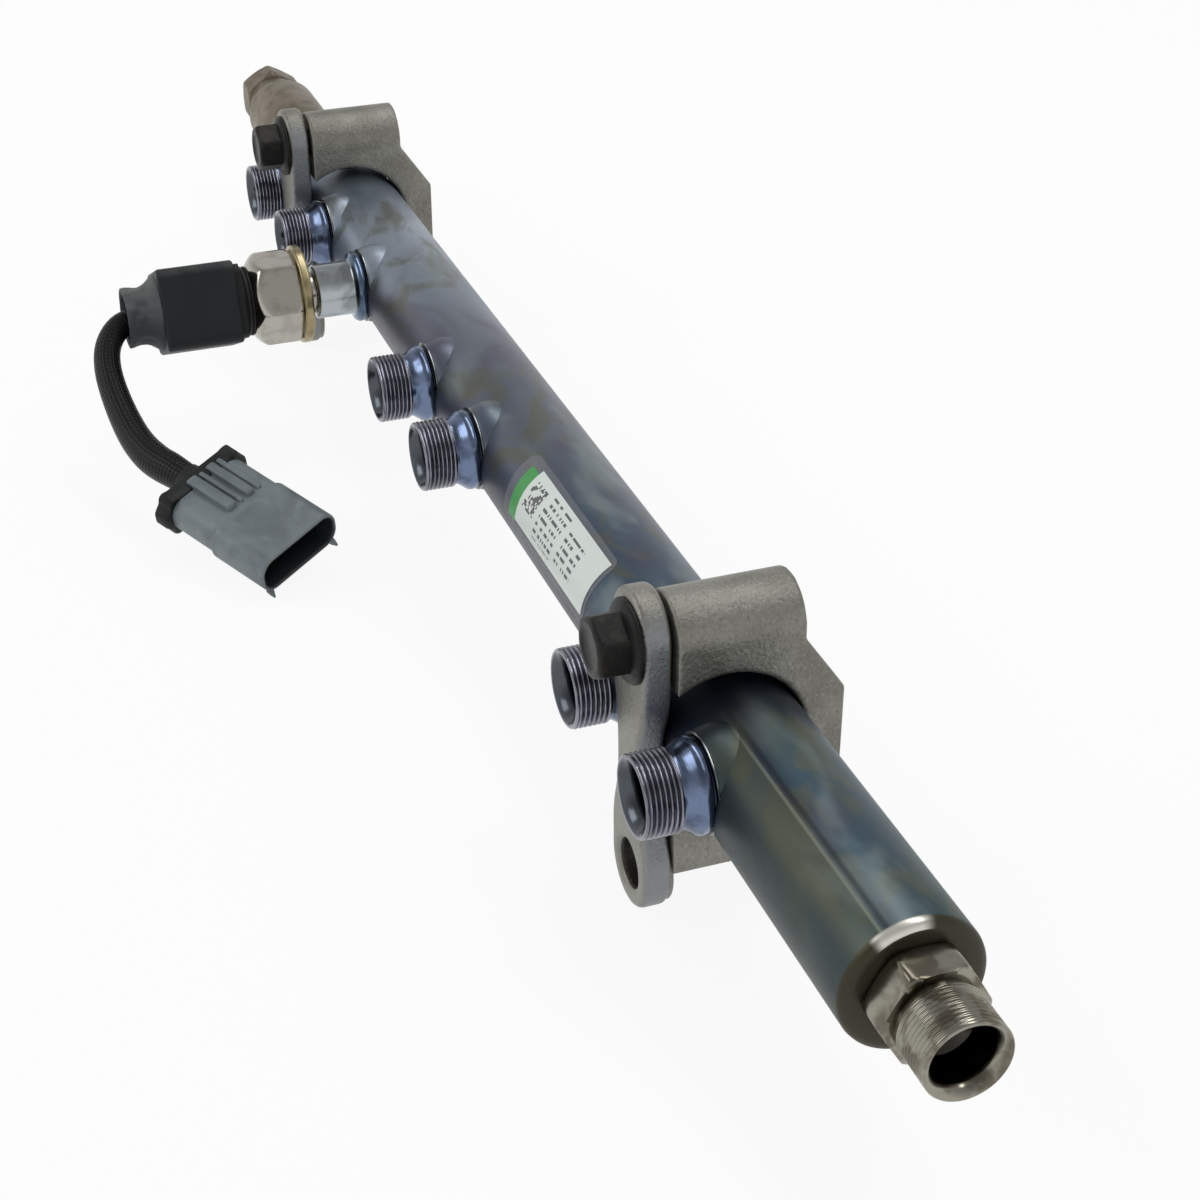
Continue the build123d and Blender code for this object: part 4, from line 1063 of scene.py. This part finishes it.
valve_inside = [f"relief_valve_{part}" for part in ("seat", "plunger", "spring", "shim")]
contacts = plated("contact_tin", (200, 184, 130), (170, 150, 100), 0.22)
wear(contacts, "sensor_contacts", "connector_pins")
wear(plated("sensor_nickel", (172, 169, 160), (118, 112, 98), 0.11, 0.30), "sensor_hexagon")
wear(plated("ring_yellow", (158, 146, 114), (112, 100, 70), 0.24), "sensor_seal_ring")
wear(plated("union_nickel", (146, 143, 132), (84, 77, 64), 0.14, 0.75, shaded_bore=0.00645), "inlet_union")
wear(plated("valve_dull", (128, 119, 104), (98, 90, 76), 0.42), "valve_barrel", "valve_hexagon")
wear(plated("inner_steel", (170, 170, 168), (140, 140, 140), 0.25), *valve_inside)

# %% [markdown]
# ## Plastics and rubber
# Moulded nylon is matt and slightly rough, and its upward faces are paler, partly dust and partly
# painted light from above: the pale tint is mixed in by how much the surface looks up. The rubber of
# the boot is paler and wrinkled, the seals are black.

# %% Moulded plastics and rubber
def moulded(name, tint, dust_and_top_light, rough, texture, depth, upward_span=(0.2, 1.0)):
    bench = Bench(name)
    pores = bench.noise(texture, 2.0)
    cloud = bench.noise(0.010, 4.0)
    # upward faces paler: dust and painted top light together
    facing = bench.node("NewGeometry", {}, out="Normal").part("Z").ramp(*upward_span)
    return bench.finish(
        Base_Color=bench.tints(tint, dust_and_top_light, facing * cloud.ramp(0.25, 0.70)),
        Roughness=rough + pores * 0.12,
        Specular_IOR_Level=0.28,
        Normal=bench.bump(pores, depth),
    )


plug_nylon = moulded("plug_nylon", (14, 20, 25), (56, 59, 58), 0.44, 0.0006, 0.00003, (0.35, 0.8))
neck_rubber = moulded("neck_rubber", (14, 15, 16), (34, 36, 36), 0.50, 0.0008, 0.00003)
boot_rubber = moulded("boot_rubber", (50, 56, 60), (92, 96, 94), 0.55, 0.0014, 0.00012, (-0.2, 0.9))
clip_nylon = moulded("retainer_nylon", (14, 15, 16), (30, 32, 32), 0.46, 0.0008, 0.00004)
wear(plug_nylon, "plug_housing")
wear(neck_rubber, "plug_seal", "sensor_head")
wear(boot_rubber, "creased_boot")
wear(clip_nylon, "connector_collar", "connector_neck")

# %% [markdown]
# ## Connector shell
# The shell of the connector is grey nylon. Its socket is deep and lies in shadow, so the inner
# walls are painted darker, a painted shade. They are found by a box with round corners in the
# connector's own directions, which come from dot products with the place of a point.

# %% Nylon of the shell
def measured(bench, direction):
    from_back = bench.place - tuple(SHELL_BACK * MM)
    return bench.node("VectorMath", {"operation": "DOT_PRODUCT"}, from_back, tuple(direction), out="Value")


bench = Bench("connector_nylon")
pores = bench.noise(0.0006, 2.0)
cloud = bench.noise(0.011, 4.0, twist=0.6)
nylon = bench.tints((110, 119, 122), (92, 101, 105), cloud.ramp(0.38, 0.66))
nylon = nylon.mix(paint(132, 140, 140), bench.noise(0.004, 4.0, shift=2.0).ramp(0.62, 0.76) * 0.4)
sideways = (abs(measured(bench, SHELL_ACROSS)) - 0.0091).larger(0.0)
upwards = (abs(measured(bench, SHELL_UP)) - 0.0009).larger(0.0)
in_socket = (sideways * sideways + upwards * upwards).below(0.0043**2)
inside = measured(bench, SHELL_AHEAD).above(0.0202) * in_socket
# painted shade inside the socket
nylon = nylon.mix(paint(12, 15, 20), inside * 0.97)
bench.finish(Base_Color=nylon, Roughness=0.46 + pores * 0.12, Normal=bench.bump(pores, 0.00003))
ribs = [f"shell_rib_{number}" for number in range(1, len(RIBS) + 1)]
wear(bench.material, "connector_shell", *ribs, "mouth_fin_left", "mouth_fin_right")

# %% [markdown]
# ## Sleeve
# The cable's sleeve is braided: two families of yarn cross each other. The product of two sine
# waves that wind in opposite turns makes the diamonds, and pale flecks on the raised yarn are
# painted highlights.

# %% Braided sleeve
bench = Bench("braided_sleeve")
uv = bench.node("TexCoord", {}, out="UV")
turn = uv.part("X")
travel = uv.part("Y")
YARNS_ROUND, YARNS_PER_METRE = 16.0, 420.0
left = ((turn * YARNS_ROUND + travel * YARNS_PER_METRE) * (2 * math.pi)).sine()
right = ((turn * YARNS_ROUND - travel * YARNS_PER_METRE) * (2 * math.pi)).sine()
weave = left * right
# pale flecks: painted highlights on the sleeve's sheen
fleck_highlights = bench.noise(0.0018, 4.0, rough=0.7).ramp(0.60, 0.72)
bench.finish(
    Base_Color=bench.tints((7, 8, 8), (64, 70, 66), fleck_highlights * weave.ramp(0.0, 0.9) * 0.6),
    Roughness=0.40 + weave * 0.1,
    Specular_IOR_Level=0.22,
    Normal=bench.bump(weave, 0.00006),
)
wear(bench.material, "cable_sleeve")

# %% [markdown]
# ## Print of the label
# The print is worked out from where a point lies: millimetres along the tube, and millimetres
# round it. Each field is a product of comparisons, 1 inside and 0 outside; its four numbers are
# where it starts and ends along the tube, then round it. The block of squares is noise that stays
# the same over each small cell, and the bars are rows of a fixed pitch.

# %% Label print
GREEN, WHITE = (54.6, 59.4, 0.8, 14.6), (59.4, 107.6, 1.4, 15.9)
SQUARES = (61.4, 68.9, 6.2, 13.6)
BARS = ((71.5, 84.0, 3.0, 14.5), (87.0, 97.5, 4.0, 12.6))
SQUARE_SIZE, BAR_CELL, ROW_PITCH = 0.62, 0.7, 1.9
bench = Bench("label_print")
along_mm = bench.place.part("X") * 1000.0
round_mm = bench.angle() * RAIL_R


def field(x_low, x_high, low, high):
    inside_x = along_mm.above(x_low) * along_mm.below(x_high)
    return inside_x * round_mm.above(low) * round_mm.below(high)


def cells(wire, pitch):
    return bench.math("FLOOR", wire / pitch)


def speckle(across, along, seed):
    cell = bench.node("CombineXYZ", {}, across, along, seed)
    return bench.node("TexWhiteNoise", {"noise_dimensions": "3D"}, cell, out="Value")


def printed_bars(place, seed):
    line = cells(round_mm, ROW_PITCH)
    inner = round_mm / ROW_PITCH - line
    ink = speckle(cells(along_mm, BAR_CELL), line, seed)
    return field(*place) * inner.above(0.30) * inner.below(0.72) * ink.above(0.34)


green, white = field(*GREEN), field(*WHITE)
speck = speckle(cells(along_mm, SQUARE_SIZE), cells(round_mm, SQUARE_SIZE), 3.0)
rows = printed_bars(BARS[0], 1.0).larger(printed_bars(BARS[1], 2.0))
ink = (field(*SQUARES) * speck.above(0.46)).larger(rows)
film = bench.tints((150, 150, 156), (52, 142, 66), green)
film = film.mix(paint(206, 213, 208), white).mix(paint(42, 46, 48), ink * 0.9)
shown = (green + white).smaller(1.0)
bench.finish(Base_Color=film, Roughness=0.26 + bench.noise(0.004, 2.0) * 0.1, Alpha=0.28 + shown * 0.72)
wear(bench.material, "printed_film")

# %% [markdown]
# ## Floor and light
# A pale floor that reads as white paper, with the object's own soft shadow left in it. For camera,
# mirror and glass rays the floor is mostly its own white light, for all other rays it is plain
# pale paint.

# %% Floor
REACH = 4.0
FLOOR_GAP = 0.0002
FLOOR_GLOW = 0.90
floor_mesh = bpy.data.meshes.new("floor")
corners = [(-REACH, -REACH, 0), (REACH, -REACH, 0), (REACH, REACH, 0), (-REACH, REACH, 0)]
floor_mesh.from_pydata(corners, [], [(0, 1, 2, 3)])
floor = linked("floor", floor_mesh)
floor.location.z = floor_height - FLOOR_GAP
bench = Bench("floor_white")
light_path = bench.lay("LightPath", {})
kinds = ("Is Camera Ray", "Is Glossy Ray", "Is Transmission Ray")
seen, mirrored, through = (Wire(bench, light_path.outputs[kind]) for kind in kinds)
bench.finish(Base_Color=(0.88, 0.88, 0.88), Roughness=0.9)
glow = bench.lay("Emission", {}, Color=(1.0, 1.0, 1.0, 1.0), Strength=1.0)
blend = bench.lay("MixShader", {}, seen.larger(mirrored).larger(through) * FLOOR_GLOW)
bench.tree.links.new(bench.shader.outputs[0], blend.inputs[1])
bench.tree.links.new(glow.outputs[0], blend.inputs[2])
bench.tree.links.new(blend.outputs[0], bench.tree.nodes["Material Output"].inputs["Surface"])
floor.data.materials.append(bench.material)
print("floor at", round(floor.location.z, 4))

# %% [markdown]
# The world is a studio: white towards the horizon, greyer overhead, so that a round metal shows a
# light side and a dark back. What the camera, a mirror or glass sees of its lower part is white.

# %% World
SKY_FALL = {"From Min": 0.10, "From Max": 0.75, "To Min": 1.0, "To Max": 0.40}
world = bpy.data.worlds.new("studio")
bpy.context.scene.world = world
world.use_nodes = True
sky = world.node_tree
back = sky.nodes["Background"]
lay, join = sky.nodes.new, sky.links.new
way, height, fall = (lay(f"ShaderNode{kind}") for kind in ("TexCoord", "SeparateXYZ", "MapRange"))
bright, rays, switch = (lay(f"ShaderNode{kind}") for kind in ("Background", "LightPath", "MixShader"))
for name, value in SKY_FALL.items():
    fall.inputs[name].default_value = value
join(way.outputs["Generated"], height.inputs[0])
join(height.outputs["Z"], fall.inputs["Value"])
join(fall.outputs[0], back.inputs["Strength"])
bright.inputs["Strength"].default_value = 1.0
for number, source in enumerate((rays.outputs["Is Camera Ray"], back.outputs[0], bright.outputs[0])):
    join(source, switch.inputs[number])
join(switch.outputs[0], sky.nodes["World Output"].inputs["Surface"])
for node in (back, bright):
    node.inputs["Color"].default_value = (1.0, 1.0, 1.0, 1.0)
print("world", world.name)

# %% [markdown]
# Two soft boxes: a broad window to the left, and a narrow strip above and behind.

# %% Lamps
def softbox(name, place, aim, size, power):
    lamp = bpy.data.lights.new(name, "AREA")
    lamp.shape = "RECTANGLE"
    lamp.size, lamp.size_y = size
    lamp.energy = power
    holder = linked(name, lamp)
    holder.location = place
    holder.rotation_euler = (Vector(aim) - Vector(place)).to_track_quat("-Z", "Y").to_euler()
    print(name, power, "W")


softbox("window_left", (-0.3, -1.5, 1.3), (0, 0, 0), (1.2, 0.8), 9)
softbox("strip_above", (-0.1, 0.40, 1.3), (0, 0, 0), (1.8, 0.30), 7)
